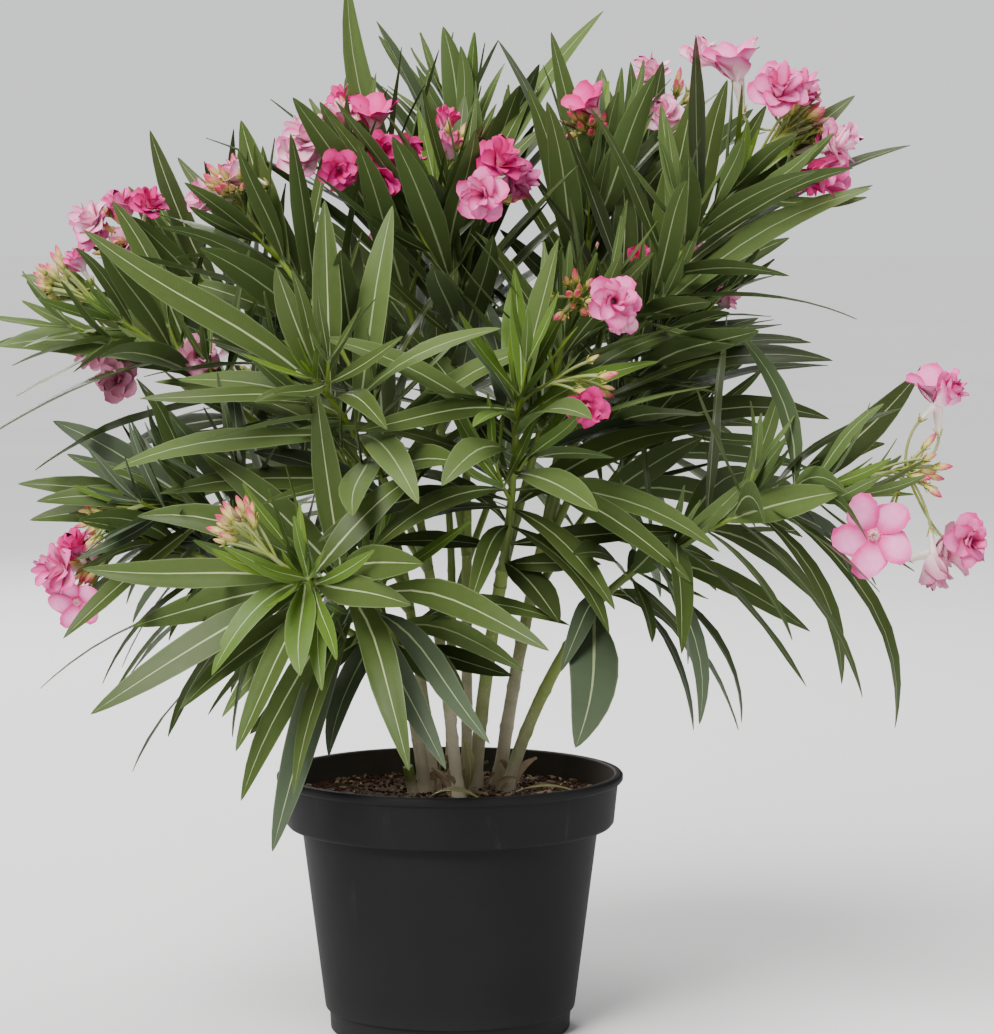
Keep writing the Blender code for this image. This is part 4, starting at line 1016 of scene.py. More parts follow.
@cache
def grown_plant(twigs_per_shoot):
    """Grows the canes, boughs and stems, then blossom, the leaves that set the outline, whorls and twigs."""
    plant = Plant()
    for name, cane in CANES.items():
        shape = limb(cane_arc(cane), 0.0, 1.0, cane_radius(cane), CANE_RINGS, CANE_SIDES, level_foot=True)
        plant.add(name, shape)
    for name, shoot in SHOOTS.items():
        if has_bough(shoot):
            arc = shoot_arc(shoot)
            start = share_of_gap(arc) if shoot.at == 1.0 else 0.0
            bough = limb(arc, start, shoot.bare, shoot_radius(shoot), BOUGH_RINGS, CANE_SIDES)
            plant.add("bough_" + name, bough)
    for name, shoot in SHOOTS.items():
        arc = shoot_arc(shoot)
        start = share_of_gap(arc) + (shoot.bare if has_bough(shoot) else 0.0)
        plant.add(name, limb(arc, start, 1.0, shoot_radius(shoot), STEM_RINGS, STEM_SIDES))
    for name, shoot in SHOOTS.items():
        for head_name, head in HEADS.items():
            if head.shoot == name:
                grow_head(plant, name, head_name, head, shoot_arc(shoot))
    for name, shoot in SHOOTS.items():
        grow_placed_leaves(plant, name, shoot_arc(shoot))
    for name, shoot in SHOOTS.items():
        grow_whorls(plant, name, shoot, shoot_arc(shoot))
    for head_name, head in HEADS.items():
        grow_small_buds(plant, head_name, head)
    for head_name, rows in MORE_BLOOMS.items():
        shoot = HEADS[head_name].shoot
        arc = head_arc(HEADS[head_name], shoot_arc(SHOOTS[shoot]))
        for bloom in (Bloom(*row) for row in rows):
            plant.blooms.append(OpenBloom(arc.end - arc.way(1.0) * PEDUNCLE_END_RADIUS, bloom))
            neck = in_mm(bloom.mouth) - in_mm(bloom.faces).normalized() * BLOOM_NECK
            plant.add(shoot, bloom_shape(neck, bloom))
    for name, shoot in SHOOTS.items():
        grow_twigs(plant, name, shoot, shoot_arc(shoot), twigs_per_shoot)
    return plant


# Fine shapes: every leaf, petal, bud and limb is a closed skin over rings of points


def bow(arc, shares):
    """Points along an arc and the ways it runs there, as arrays."""
    start, bend, end = (np.array(point) for point in (arc.start, arc.bend, arc.end))
    share = np.asarray(shares, float)[:, None]
    points = start * (1 - share) ** 2 + bend * 2 * share * (1 - share) + end * share**2
    return points, unit((bend - start) * (1 - share) + (end - bend) * share)


def unit(vectors):
    return vectors / np.linalg.norm(vectors, axis=-1, keepdims=True)


def spun(vectors, ways, angles):
    """Vectors square to their ways, turned about them."""
    angles = np.asarray(angles)[..., None]
    return vectors * np.cos(angles) + np.cross(ways, vectors) * np.sin(angles)


class Pile:
    """The skins of many like things, gathered for one mesh. Its map runs round each skin and along it; it has
    a band for each tone that its things come in."""

    def __init__(self, bands=1):
        self.bands = bands
        self.points = []
        self.faces = []
        self.places = []
        self.count = 0

    def skin(self, rows, around, along, band=0):
        """Adds a closed skin over rings of points, with a stretch around for each side of a ring."""
        rings, sides = rows.shape[:2]
        ups = [(band + MAP_EDGE + (1 - 2 * MAP_EDGE) * share) / self.bands for share in along]
        for ring in range(rings - 1):
            for side in range(sides):
                here = self.count + ring * sides + side
                beside = self.count + ring * sides + (side + 1) % sides
                self.faces.append((here, beside, beside + sides, here + sides))
                near, far = around[side]
                low, high = ups[ring], ups[ring + 1]
                self.places += [(near, low), (far, low), (far, high), (near, high)]
        last = self.count + (rings - 1) * sides
        self.faces.append(tuple(self.count + side for side in reversed(range(sides))))
        self.places += [(around[side][0], ups[0]) for side in reversed(range(sides))]
        self.faces.append(tuple(last + side for side in range(sides)))
        self.places += [(around[side][0], ups[-1]) for side in range(sides)]
        self.points.append(rows.reshape(-1, 3))
        self.count += rings * sides

    def made(self, name, material, sharp_angle=60):
        """The pile as one object at the origin, kept within the room of the solids."""
        mesh = bpy.data.meshes.new(name)
        low, high = CAD_BOX
        points = np.clip(np.concatenate(self.points), np.array(low) + BOX_MARGIN, np.array(high) - BOX_MARGIN)
        mesh.from_pydata(points.tolist(), [], self.faces)
        mesh.uv_layers.new(name=MAP).uv.foreach_set("vector", np.array(self.places, np.float32).ravel())
        mesh.shade_smooth()
        mesh.set_sharp_from_angle(angle=radians(sharp_angle))
        mesh.materials.append(material)
        piece = bpy.data.objects.new(name, mesh)
        bpy.context.scene.collection.objects.link(piece)
        return piece


def sheet_around(top, under):
    """The stretches of the map round a sheet: the upper side on the left half, the lower on the right."""
    upper = [0.25 + SHEET_HALF * place for place in top]
    lower = [0.75 - SHEET_HALF * place for place in (1, *under, -1)]
    return list(zip(upper, upper[1:])) + list(zip(lower, lower[1:]))


def ring_around(sides):
    return [(side / sides, (side + 1) / sides) for side in range(sides)]


BLADE_AROUND = sheet_around(BLADE_TOP, BLADE_UNDER)
PETAL_AROUND = sheet_around(PETAL_TOP, PETAL_UNDER)


def blade(pile, arc, face, roll, width, band, dice, flat=1.0):
    """A leaf blade: its halves rise from the midrib, which stands out below, and its margins turn down."""
    shares = np.array(BLADE_SHARES)
    length = arc.span()
    points, ways = bow(arc, shares)
    across = unit(np.cross(ways, np.array(face)))
    twist = dice.uniform(-BLADE_TWIST, BLADE_TWIST) * (shares - TWIST_CENTRE) * flat
    across = spun(across, ways, roll + twist)
    over = np.cross(across, ways)
    widening = np.sin(pi / 2 * np.clip(shares / BLADE_WIDEST, 0, 1)) ** BASE_FULLNESS
    narrowing = np.cos(pi / 2 * np.clip((shares - BLADE_WIDEST) / (1 - BLADE_WIDEST), 0, 1)) ** TIP_FULLNESS
    fullness = widening * narrowing
    half = np.maximum(width * dice.uniform(*BLADE_WIDTH_PLAY) / 2 * fullness, PETIOLE_RADIUS)
    half[-1] = TIP_RADIUS
    fold = tan(radians(dice.uniform(*BLADE_FOLD)))
    wave, wave_turn = dice.uniform(0, BLADE_WAVE), dice.uniform(0, TURN)
    curl = dice.uniform(*TIP_CURL) * flat * length * np.clip(shares - CURL_FROM, 0, 1) ** 2
    sway = dice.uniform(-BLADE_SWAY, BLADE_SWAY) * length * np.sin(TURN * shares) * flat
    middle = points + over * curl[:, None] + across * sway[:, None]
    rows = []
    for place in BLADE_TOP:
        lift = half * (fold * abs(place) - MARGIN_TURN * place**2)
        lift = lift + half * abs(place) * wave * np.sin(WAVES * shares + wave_turn + place)
        lift = lift - (MIDRIB_DIP * fullness if place == 0 else 0)
        rows.append(middle + across * (half * place)[:, None] + over * lift[:, None])
    thick = np.maximum(MIDRIB_DEPTH * (1 - shares) ** 0.5 + BLADE_THICKNESS, TIP_RADIUS)
    rows.append(middle - over * thick[:, None])
    pile.skin(np.stack(rows, axis=1), BLADE_AROUND, shares, band)


def petal_course(layer):
    """Shares along a petal of the layer, how far it has opened there, and how far it has run out and up."""
    shares = np.array(PETAL_SHARES)
    opening = np.radians(layer.open_foot + (layer.open_tip - layer.open_foot) * shares**OPENING_PACE)
    return shares, opening, running_sum(np.sin(opening), shares), running_sum(np.cos(opening), shares)


def petal(pile, mouth, way, spoke, layer, reach, throat, depth, dice):
    """A petal opens from the throat's edge outwards, and one margin lies over its neighbour's."""
    shares, opening, out, up = petal_course(layer)
    length = (reach - throat) / out[-1]
    across = np.cross(spoke, way)
    half = reach * layer.width * np.sin(pi / 2 * np.clip(shares / PETAL_WIDEST, 0, 1)) ** PETAL_TAPER
    half = np.maximum(half * np.where(shares > PETAL_WIDEST, PETAL_END, 1), throat * PETAL_FOOT)
    ruffle, ruffle_turn = dice.uniform(*RUFFLE) * reach, dice.uniform(0, TURN)
    tilt = layer.tilt * dice.uniform(*TILT_PLAY)
    bend = layer.cup * dice.uniform(*CUP_PLAY)

    def column(place, lower):
        along = shares * (1 - PETAL_ROUNDING * place**2 + PETAL_SLANT * place)
        radius = throat + length * np.interp(along, shares, out)
        height = length * np.interp(along, shares, up) - depth
        lift = half * (bend * place**2 + tilt * place) - lower
        lift = lift + ruffle * np.sin(RUFFLES * place + ruffle_turn) * shares**2
        normal = way[None] * np.sin(opening)[:, None] - spoke[None] * np.cos(opening)[:, None]
        flat = mouth + spoke * radius[:, None] + way * height[:, None] + across * (half * place)[:, None]
        return flat + normal * lift[:, None]

    rows = [column(place, 0.0) for place in PETAL_TOP]
    rows += [column(place, PETAL_THICKNESS) for place in PETAL_UNDER]
    pile.skin(np.stack(rows, axis=1), PETAL_AROUND, shares)


def running_sum(values, shares):
    steps = (values[1:] + values[:-1]) / 2 * np.diff(shares)
    return np.concatenate([[0.0], np.cumsum(steps)])


def turned_skin(pile, points, ways, radii, sides, along, band=0, twist=0.0, lobes=None):
    """A skin of rings about a line of points, each square to its way."""
    side = np.array(level_side(Vector(ways[0])))
    rows = []
    for ring, (point, way, radius) in enumerate(zip(points, ways, radii)):
        side = unit(side - way * (side @ way))
        corners = TURN * np.arange(sides) / sides + twist * ring
        spokes = spun(side[None], way[None], corners) * radius
        rows.append(point + (spokes * lobes(ring, point + spokes)[:, None] if lobes else spokes))
    pile.skin(np.array(rows), ring_around(sides), along, band)


def straight(start, end, shares):
    """Points on a straight line and its way, as arrays."""
    start, end = np.array(start), np.array(end)
    share = np.asarray(shares, float)[:, None]
    return start + (end - start) * share, np.repeat(unit(end - start)[None], len(share), axis=0)


def stalk(pile, arc, radius, end_radius, rings=STALK_RINGS):
    """A thin stalk or twig that tapers evenly."""
    shares = np.linspace(0, 1, rings)
    points, ways = bow(arc, shares)
    turned_skin(pile, points, ways, tapering(radius, end_radius)(shares), STALK_SIDES, shares)


def sepals(pile, foot, way, length, spread, dice):
    """Five narrow pointed sepals round the foot of a tube or bud."""
    side = level_side(way)
    for sepal in range(PETALS):
        spoke = turned(side, way, TURN * (sepal + dice.uniform(-SEPAL_PLAY, SEPAL_PLAY)) / PETALS)
        start = foot + spoke * SEPAL_RING
        bend = start + way * length / 2 + spoke * SEPAL_RING * spread / 2
        arc = Arc(start, bend, start + way * length + spoke * SEPAL_RING * spread)
        shares = np.array(SEPAL_SHARES)
        points, ways = bow(arc, shares)
        across = unit(np.cross(ways, -np.array(spoke)))
        over = np.cross(across, ways)
        half = (SEPAL_HALF * np.array(SEPAL_FULLNESS))[:, None]
        rows = [points - across * half, points + over * SEPAL_THICKNESS, points + across * half]
        rows.append(points - over * SEPAL_THICKNESS)
        pile.skin(np.stack(rows, axis=1), ring_around(4), shares)


# Materials


def by_node(operation, swapped=False):
    """A method that puts the number, and the values given with it, into a Math node."""

    def method(self, *values):
        values = (*values, self) if swapped else (self, *values)
        node = self.paint.node("Math", dict(enumerate(values)), operation=operation)
        return Reading(self.paint, node.outputs[0])

    return method


class Reading(namedtuple("Reading", "paint socket")):
    """A number that varies over a surface."""

    __add__ = by_node("ADD")
    __radd__ = by_node("ADD", swapped=True)
    __sub__ = by_node("SUBTRACT")
    __rsub__ = by_node("SUBTRACT", swapped=True)
    __mul__ = by_node("MULTIPLY")
    __rmul__ = by_node("MULTIPLY", swapped=True)
    __truediv__ = by_node("DIVIDE")
    __pow__ = by_node("POWER")
    __abs__ = by_node("ABSOLUTE")
    over = by_node("GREATER_THAN")  # one where the number is over an edge, and nothing elsewhere
    fraction = by_node("FRACT")
    floor = by_node("FLOOR")
    sine = by_node("SINE")

    def ramp(self, low, high):
        """Rises smoothly from nothing at low to one at high; falls where low is the greater."""
        if low > high:
            return 1 - self.ramp(high, low)
        values = {"Value": self, "From Min": low, "From Max": high}
        node = self.paint.node("MapRange", values, interpolation_type="SMOOTHSTEP")
        return Reading(self.paint, node.outputs["Result"])


class Paint:
    """A material whose colours are laid on its body one after another."""

    def __init__(self, name, body, roughness, specular):
        self.material = bpy.data.materials.new(name)
        self.material.use_nodes = True
        self.tree = self.material.node_tree
        self.shader = self.tree.nodes["Principled BSDF"]
        self.shader.inputs["Roughness"].default_value = roughness
        self.shader.inputs["Specular IOR Level"].default_value = specular
        self.body = body

    def node(self, kind, values=None, **settings):
        """Adds a node: its settings first, then its sockets' values or links."""
        node = self.tree.nodes.new("ShaderNode" + kind)
        for setting, value in settings.items():
            setattr(node, setting, value)
        for socket, value in (values or {}).items():
            self.feed(node.inputs[socket], value)
        return node

    def feed(self, socket, value):
        value = value.socket if isinstance(value, Reading) else value
        if isinstance(value, bpy.types.NodeSocket):
            self.tree.links.new(value, socket)
        elif socket.type == "RGBA":
            socket.default_value = (*value, 1.0)
        else:
            socket.default_value = value

    def lay(self, colour, share):
        """Lays a colour over the body by a share."""
        mix = self.node("Mix", {0: share, 6: self.body, 7: colour}, data_type="RGBA")
        self.body = mix.outputs[2]

    def parts(self, place, axes):
        split = self.node("SeparateXYZ", {"Vector": place})
        return [Reading(self, split.outputs[axis]) for axis in axes]

    def map(self):
        """The places on a piece's own map, and their parts around and along."""
        places = self.node("UVMap", uv_map=MAP).outputs["UV"]
        return places, *self.parts(places, "XY")

    def room(self):
        """The place in space, in metres, and its three parts."""
        place = self.node("TexCoord").outputs["Object"]
        return place, *self.parts(place, "XYZ")

    def stretched(self, place, scale):
        return self.node("Mapping", {"Vector": place, "Scale": scale}).outputs["Vector"]

    def noise(self, place, scale, detail, roughness=0.5):
        values = {"Vector": place, "Scale": scale, "Detail": detail, "Roughness": roughness}
        return Reading(self, self.node("TexNoise", values).outputs["Fac"])

    def grain(self, place, scale, detail, roughness=0.5):
        """Noise with a scale of its own along each axis."""
        return self.noise(self.stretched(place, scale), 1.0, detail, roughness)

    def cells(self, place, scale):
        values = {"Vector": place, "Scale": scale}
        return Reading(self, self.node("TexVoronoi", values).outputs["Distance"])

    def finished(self, roughness, height=None, distance=0.0):
        """The material, with its body, roughness and relief worn by the shader."""
        self.feed(self.shader.inputs["Base Color"], self.body)
        self.feed(self.shader.inputs["Roughness"], roughness)
        if height:
            bump = self.node("Bump", {"Height": height, "Distance": distance})
            self.feed(self.shader.inputs["Normal"], bump.outputs["Normal"])
        return self.material


def blend(first, second, share):
    """A colour between two, worked out once."""
    return tuple(a + (b - a) * share for a, b in zip(first, second))


def leaf_paint(name, tone, rib):
    """A leathery leaf in three strengths of its tone: a pale midrib, side veins, and a paler, duller back."""
    paint = Paint(name, blend(tone, BLACK, 0.32), LEAF_ROUGHNESS, specular=0.14)
    places, around, up = paint.map()
    along = (up * LEAF_BANDS).fraction()
    band = (up * LEAF_BANDS).floor()
    beside = abs(abs(around - 0.5) - 0.25) / SHEET_HALF
    under = around.over(0.5)
    mottle = paint.grain(places, (9, 60, 1), 3)
    strength = 0.86 + band * 0.14 + (mottle - 0.5) * 0.35
    veins = ((along * VEINS - beside * VEIN_SLANT) * 2 * pi).sine() * 0.5 + 0.5
    veins = veins * (1 - under * 0.5) * beside.ramp(0.05, 0.25)
    paint.lay(blend(tone, SUNLIGHT, 0.02), strength - 0.4)
    paint.lay(blend(tone, rib, 0.35), veins * 0.04)
    paint.lay(blend(tone, BACK_COLOUR, 0.55), under * 0.85)
    paint.lay(blend(tone, rib, 0.6), beside.ramp(0.9, 0.99) * 0.35)
    width = 0.04 + 0.18 * (1 - along) ** 4
    midrib = 1 - (beside / width).ramp(0.6, 1.3)
    midrib = midrib * (1 - along.ramp(0.86, 1) * 0.6)
    paint.lay(rib, midrib * 0.9)
    paint.lay(rib, along.ramp(0.1, 0.02) * 0.8)
    tip = along.ramp(0.975, 1) * band.over(1.5)
    paint.lay(DRY_COLOUR, tip * 0.8)
    roughness = LEAF_ROUGHNESS + (mottle - 0.5) * 0.2 + under * 0.18
    return paint.finished(roughness, veins * 0.12 + mottle * 0.6 + midrib * 0.8, 0.15 * MM)


def petal_paint(name, edge, heart, throat, back):
    """A petal: deep in the throat and towards its margins, pale in the middle, with fine lines along it.
    The pale middle is partly its own colour and partly a painted highlight where the petal cups. Its back is
    pale at the foot."""
    paint = Paint(name, heart, 0.5, specular=0.3)
    places, around, up = paint.map()
    beside = abs(abs(around - 0.5) - 0.25) / SHEET_HALF
    under = around.over(0.5)
    lines = paint.grain(places, (70, 2.5, 1), 2)
    clouds = paint.grain(places, (5, 4, 1), 2)
    one_side = (around * 2).fraction().ramp(0.3, 0.85)
    # Deep margins round a pale heart: partly the petal's own colour, partly a painted highlight on its cupped
    # middle.
    margin = beside.ramp(0.4, 1) * 0.75 + up.ramp(0.72, 1) * 0.55
    paint.lay(edge, margin + one_side * 0.25 + (clouds - 0.5) * 0.8)
    paint.lay(blend(edge, BLACK, 0.12), (lines - 0.35) * 0.5)
    paint.lay(throat, up.ramp(0.5, 0.05) * 0.8 * (1 - under))
    paint.lay(back, up.ramp(0.8, 0.15) * under)
    return paint.finished(0.45 + lines * 0.15, lines + clouds, 0.12 * MM)


def tube_paint(name, foot, mouth, streak):
    """The corolla's tube: cream at its foot, pink towards the mouth, with streaks along it."""
    paint = Paint(name, foot, 0.5, specular=0.3)
    places, _, up = paint.map()
    streaks = paint.grain(places, (26, 2, 1), 1)
    paint.lay(mouth, up.ramp(0.15, 0.8))
    paint.lay(streak, streaks.ramp(0.52, 0.68) * up.ramp(0.1, 0.6) * 0.6)
    return paint.finished(0.45 + streaks * 0.15, streaks, 0.1 * MM)


def bud_paint(name, foot, tip, stripe):
    """A rolled bud: pale at its foot, red at its tip, with slanting stripes where its petals overlap."""
    paint = Paint(name, foot, 0.45, specular=0.35)
    places, around, up = paint.map()
    mottle = paint.grain(places, (10, 6, 1), 2)
    rolled = ((around * PETALS + up * 1.6) * 2 * pi).sine() * 0.5 + 0.5
    paint.lay(tip, (up + (mottle - 0.5) * 0.5).ramp(0.35, 0.92))
    paint.lay(stripe, rolled.ramp(0.55, 0.95) * up.ramp(0.1, 0.4) * 0.3)
    return paint.finished(0.4 + mottle * 0.2, rolled + mottle * 0.4, 0.25 * MM)


def stalk_paint(name, low, high, blush):
    """Green stalks that change colour from foot to tip and blush here and there."""
    paint = Paint(name, low, 0.55, specular=0.35)
    places, _, up = paint.map()
    mottle = paint.grain(places, (5, 14, 1), 3)
    fibres = paint.grain(places, (40, 3, 1), 2)
    paint.lay(high, (up + (mottle - 0.5) * 0.4).ramp(0.1, 0.8))
    paint.lay(blush, mottle.ramp(0.52, 0.75) * 0.7)
    return paint.finished(0.55 + (fibres - 0.5) * 0.2, fibres + mottle, 0.15 * MM)


def bark_paint(name, foot, middle, top):
    """Smooth young bark: pale and corky at the foot, olive above, with fine cracks and pale pores. Its second
    band is greener."""
    paint = Paint(name, foot, 0.7, specular=0.3)
    up = paint.map()[2]
    along = (up * 2).fraction()
    greener = up.over(0.5)
    place = paint.room()[0]
    patches = paint.noise(place, 95, 4, 0.6)
    grain = paint.grain(place, (700, 700, 90), 3)
    pores = paint.cells(paint.stretched(place, (330, 330, 210)), 1.0).ramp(0.3, 0.12)
    climb = along + (patches - 0.5) * 0.3
    paint.lay(middle, climb.ramp(0.15, 0.65))
    paint.lay(top, climb.ramp(0.45, 1))
    paint.lay(top, greener * climb.ramp(-0.1, 0.5) * 0.7)
    paint.lay(blend(foot, BLACK, 0.45), grain.ramp(0.58, 0.75) * (1 - along * 0.6) * 0.6)
    paint.lay(blend(foot, WHITE, 0.15), pores * 0.14)
    return paint.finished(0.6 + patches * 0.25, grain * 0.7 + pores * 0.25 + patches * 0.5, 0.4 * MM)


def green_wood_paint(name, low, high, blush):
    """Green wood that grows brighter towards the tip, with faint lines along it."""
    paint = Paint(name, low, 0.5, specular=0.4)
    places, _, up = paint.map()
    place = paint.room()[0]
    patches = paint.noise(place, 80, 3)
    lines = paint.grain(places, (60, 5, 1), 2)
    climb = up + (patches - 0.5) * 0.3
    paint.lay(high, climb.ramp(0.1, 0.85))
    paint.lay(blush, patches.ramp(0.55, 0.8) * (1 - up * 0.7) * 0.5)
    paint.lay(blend(high, WHITE, 0.25), lines.ramp(0.55, 0.8) * 0.3)
    return paint.finished(0.45 + patches * 0.2, lines * 0.6 + patches * 0.5, 0.25 * MM)


def pot_paint(name, plastic, collar_foot):
    """Matte moulded plastic: a fine grain, faint clouds, scuffs, dust at the foot, and inside the collar
    paler dust with a painted reflection.
    """
    paint = Paint(name, plastic, 0.5, specular=0.06)
    place, across, deep, high = paint.room()
    grain = paint.noise(place, 1600, 2)
    clouds = paint.noise(place, 16, 4)
    scuffs = paint.grain(place, (60, 60, 9), 5, 0.7).ramp(0.6, 0.78)
    dust = (clouds * 0.6 + high.ramp(0.03, 0) * 0.5) * 0.5
    radius = (across**2 + deep**2) ** 0.5
    collar = radius - (high - collar_foot) * COLLAR_SLOPE
    inside = (1 - collar.ramp(*COLLAR_INSIDE)) * high.ramp(collar_foot + 0.004, collar_foot + 0.008)
    paint.lay(blend(plastic, WHITE, 0.02), dust)
    # Inside the collar the wall is laid paler and browner: partly dust, partly a painted reflection.
    paint.lay(blend(plastic, DUST_AND_REFLECTION_COLOUR, 0.12), inside * (clouds + 0.3))
    paint.lay(blend(plastic, WHITE, 0.05), scuffs * 0.35)
    return paint.finished(0.5 + clouds * 0.14 + scuffs * 0.1, grain * 0.5 + clouds * 0.6, 0.06 * MM)


def soil_paint(name, peat):
    """Moist potting mix: dark peat, reddish crumbs and paler fibres."""
    paint = Paint(name, blend(peat, BLACK, 0.6), 0.95, specular=0.25)
    place = paint.room()[0]
    crumbs = paint.noise(place, 260, 5, 0.65)
    grains = paint.cells(place, 420)
    fibres = paint.grain(place, (900, 160, 300), 3)
    paint.lay(blend(peat, CRUMB_COLOUR, 0.35), crumbs.ramp(0.35, 0.7))
    paint.lay(FIBRE_COLOUR, fibres.ramp(0.62, 0.75) * 0.6)
    return paint.finished(0.85 + crumbs * 0.15, crumbs + grains * 0.6, 1.2 * MM)


def chip_paint(name, wood):
    """Dry wood fibre and bark chips."""
    paint = Paint(name, blend(wood, BLACK, 0.55), 0.85, specular=0.25)
    place = paint.room()[0]
    grain = paint.grain(place, (500, 1500, 500), 3)
    patches = paint.noise(place, 120, 3)
    paint.lay(blend(wood, DRY_LIGHT, 0.15), grain * 0.5 + patches * 0.6)
    return paint.finished(0.75 + grain * 0.15, grain + patches, 0.3 * MM)


def floor_paint(name, pale):
    """A pale, even studio floor with the faintest mottle."""
    paint = Paint(name, pale, 0.7, specular=0.2)
    clouds = paint.noise(paint.room()[0], 1.5, 2)
    paint.lay(blend(pale, WHITE, 0.3), clouds)
    return paint.finished(0.65 + clouds * 0.1)


# Sizes and colours that a user may change


def setting(kind, **fixed):
    """A kind of property, which takes a name, a default, a description and limits."""

    def given(name, default, description, **limits):
        return kind(name=name, description=description, default=default, **fixed, **limits)

    return given


length = setting(FloatProperty, unit="LENGTH")
share = setting(FloatProperty, subtype="FACTOR", min=0.0)
number = setting(IntProperty, min=0)
colour = setting(FloatVectorProperty, subtype="COLOR", size=3, min=0.0, max=1.0)


class PotSizes(PropertyGroup):
    """The nursery pot and what fills it."""

    height: length("Height", POT_HIGH.z, "From the floor to the top of the rim")
    rim_radius: length("Rim radius", POT_HIGH.x, "Radius over the rolled lip")
    lip_height: length("Lip height", 0.005, "Height of the rolled lip")
    lip_stand_out: length("Lip stand-out", 0.003, "How far the lip stands out of the collar")
    collar_height: length("Collar height", 0.032, "Height of the wide collar with its lip")
    collar_foot_radius: length("Collar foot radius", 0.0995, "Radius of the collar's lower edge")
    body_top_radius: length("Body top radius", 0.09, "Radius of the body under the collar")
    base_radius: length("Base radius", 0.075, "Radius of the body at the floor")
    foot_height: length("Foot ring height", 0.013, "Height of the ring under the body")
    foot_inset: length("Foot ring inset", 0.0022, "How far the foot ring lies inside the body")
    wall: length("Wall", 0.0025, "Thickness of the wall")
    drain_radius: length("Drain hole radius", 0.006, "Radius of each drain hole")
    drain_holes: number("Drain holes", 6, "Holes in the pot's floor", max=12)
    soil_level: length("Soil level", SOIL_HIGH.z, "Height of the soil round the canes")
    crumbs: number("Crumbs", 1600, "Loose crumbs on the soil", max=4000)


class PlantSizes(PropertyGroup):
    """How finely the plant is made."""

    leaf_width: share("Leaf width", 1.0, "Width of the leaf blades as a share of their own", max=1.5)
    twigs: number("Twigs", 4, "Finer twigs tried on each shoot", max=8)
    ring_spacing: length("Ring spacing", 0.0026, "Distance between the rings of a limb", min=0.001)
    limb_relief: share("Bark relief", 0.05, "Unevenness of a limb as a share of its radius", max=0.3)
    node_swelling: share("Node swelling", 0.13, "How far a limb swells where leaves stood", max=0.5)


class PlantColours(PropertyGroup):
    """Base colours of pot, wood, leaves and blossom."""

    plastic: colour("Plastic", (0.0105, 0.0105, 0.0108), "Black nursery pot")
    peat: colour("Peat", (0.07, 0.029, 0.014), "Potting mix")
    chip: colour("Chips", (0.42, 0.29, 0.17), "Bark chips and dry fibre")
    cork: colour("Cork", (0.6, 0.53, 0.4), "Foot of the canes")
    olive_bark: colour("Olive bark", (0.165, 0.178, 0.07), "Middle of the canes")
    green_bark: colour("Green bark", (0.175, 0.23, 0.05), "Top of the canes")
    green_wood: colour("Green wood", (0.1, 0.14, 0.024), "Foot of the boughs")
    bright_wood: colour("Bright wood", (0.165, 0.245, 0.02), "Tips of the shoots")
    # Deep leaf: partly the darker colour of old leaves, partly painted shade for leaves inside the crown and
    # at the back.
    deep: colour("Deep leaf", (0.03, 0.05, 0.009), "Old leaves inside the crown")
    green: colour("Green leaf", (0.05, 0.083, 0.014), "Most leaves")
    # Grey leaf: partly a grey-green leaf colour, partly a painted sheen for leaves that catch the light.
    grey: colour("Grey leaf", (0.062, 0.088, 0.05), "Leaves with a grey bloom")
    light: colour("Light leaf", (0.09, 0.14, 0.034), "Leaves in full light")
    fresh: colour("Fresh leaf", (0.08, 0.15, 0.014), "Leaves of this season")
    # Young leaf: the colour of unfolding tip leaves made brighter as painted light; only the tips of sunlit
    # shoots take it.
    young: colour("Young leaf", (0.116, 0.205, 0.01), "Leaves that unfold at the tips")
    rib: colour("Midrib", (0.36, 0.42, 0.22), "Midrib and leaf stalk")
    pale_petal: colour("Pale petal", (0.93, 0.35, 0.65), "Palest blooms")
    pink_petal: colour("Pink petal", (0.84, 0.055, 0.36), "Most blooms")
    deep_petal: colour("Deep petal", (0.58, 0.003, 0.15), "Deepest blooms")
    # Faded petal: partly spent blooms, partly painted shade for blooms in shade.
    faded_petal: colour("Faded petal", (0.6, 0.17, 0.32), "Blooms past their best")
    tube: colour("Corolla tube", (0.97, 0.83, 0.82), "Tube of a bloom")
    bud_foot: colour("Bud foot", (0.58, 0.53, 0.14), "Foot of a bud")
    bud_tip: colour("Bud tip", (0.58, 0.022, 0.095), "Tip of a bud")
    stalk: colour("Flower stalk", (0.25, 0.3, 0.045), "Stalks of the blossom")
    withered: colour("Withered", (0.125, 0.065, 0.034), "Spent flowers")
    floor: colour("Floor", (0.78, 0.78, 0.77), "Studio floor")


class PlantSettings(PropertyGroup):
    """All settings of the potted oleander."""

    pot: PointerProperty(type=PotSizes)
    plant: PointerProperty(type=PlantSizes)
    colours: PointerProperty(type=PlantColours)


def settings():
    return bpy.context.scene.oleander


def shade(name):
    """A colour of the settings as three numbers."""
    return tuple(getattr(settings().colours, name))


# Pieces


def fresh_start():
    """Leaves edit mode and deselects everything, so that an operator acts only on what it is given."""
    if bpy.context.mode != "OBJECT":
        bpy.ops.object.mode_set(mode="OBJECT")
    bpy.ops.object.select_all(action="DESELECT")


def seat(piece, nodes=FOLIAGE_NODES):
    """The piece rides on the one body and stands for its nodes, which are hidden."""
    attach(piece, "root")
    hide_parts(*nodes)


def disc(name, sides, radius, height=0.0):
    """A flat disc, left in edit mode with its face selected."""
    fresh_start()
    place = (0, 0, height)
    bpy.ops.mesh.primitive_circle_add(vertices=sides, radius=radius, fill_type="NGON", location=place)
    piece = bpy.context.object
    piece.name = name
    bpy.ops.object.mode_set(mode="EDIT")
    bpy.ops.mesh.select_all(action="SELECT")
    return piece


def apply_all(piece):
    bpy.context.view_layer.objects.active = piece
    for modifier in list(piece.modifiers):
        bpy.ops.object.modifier_apply(modifier=modifier.name)


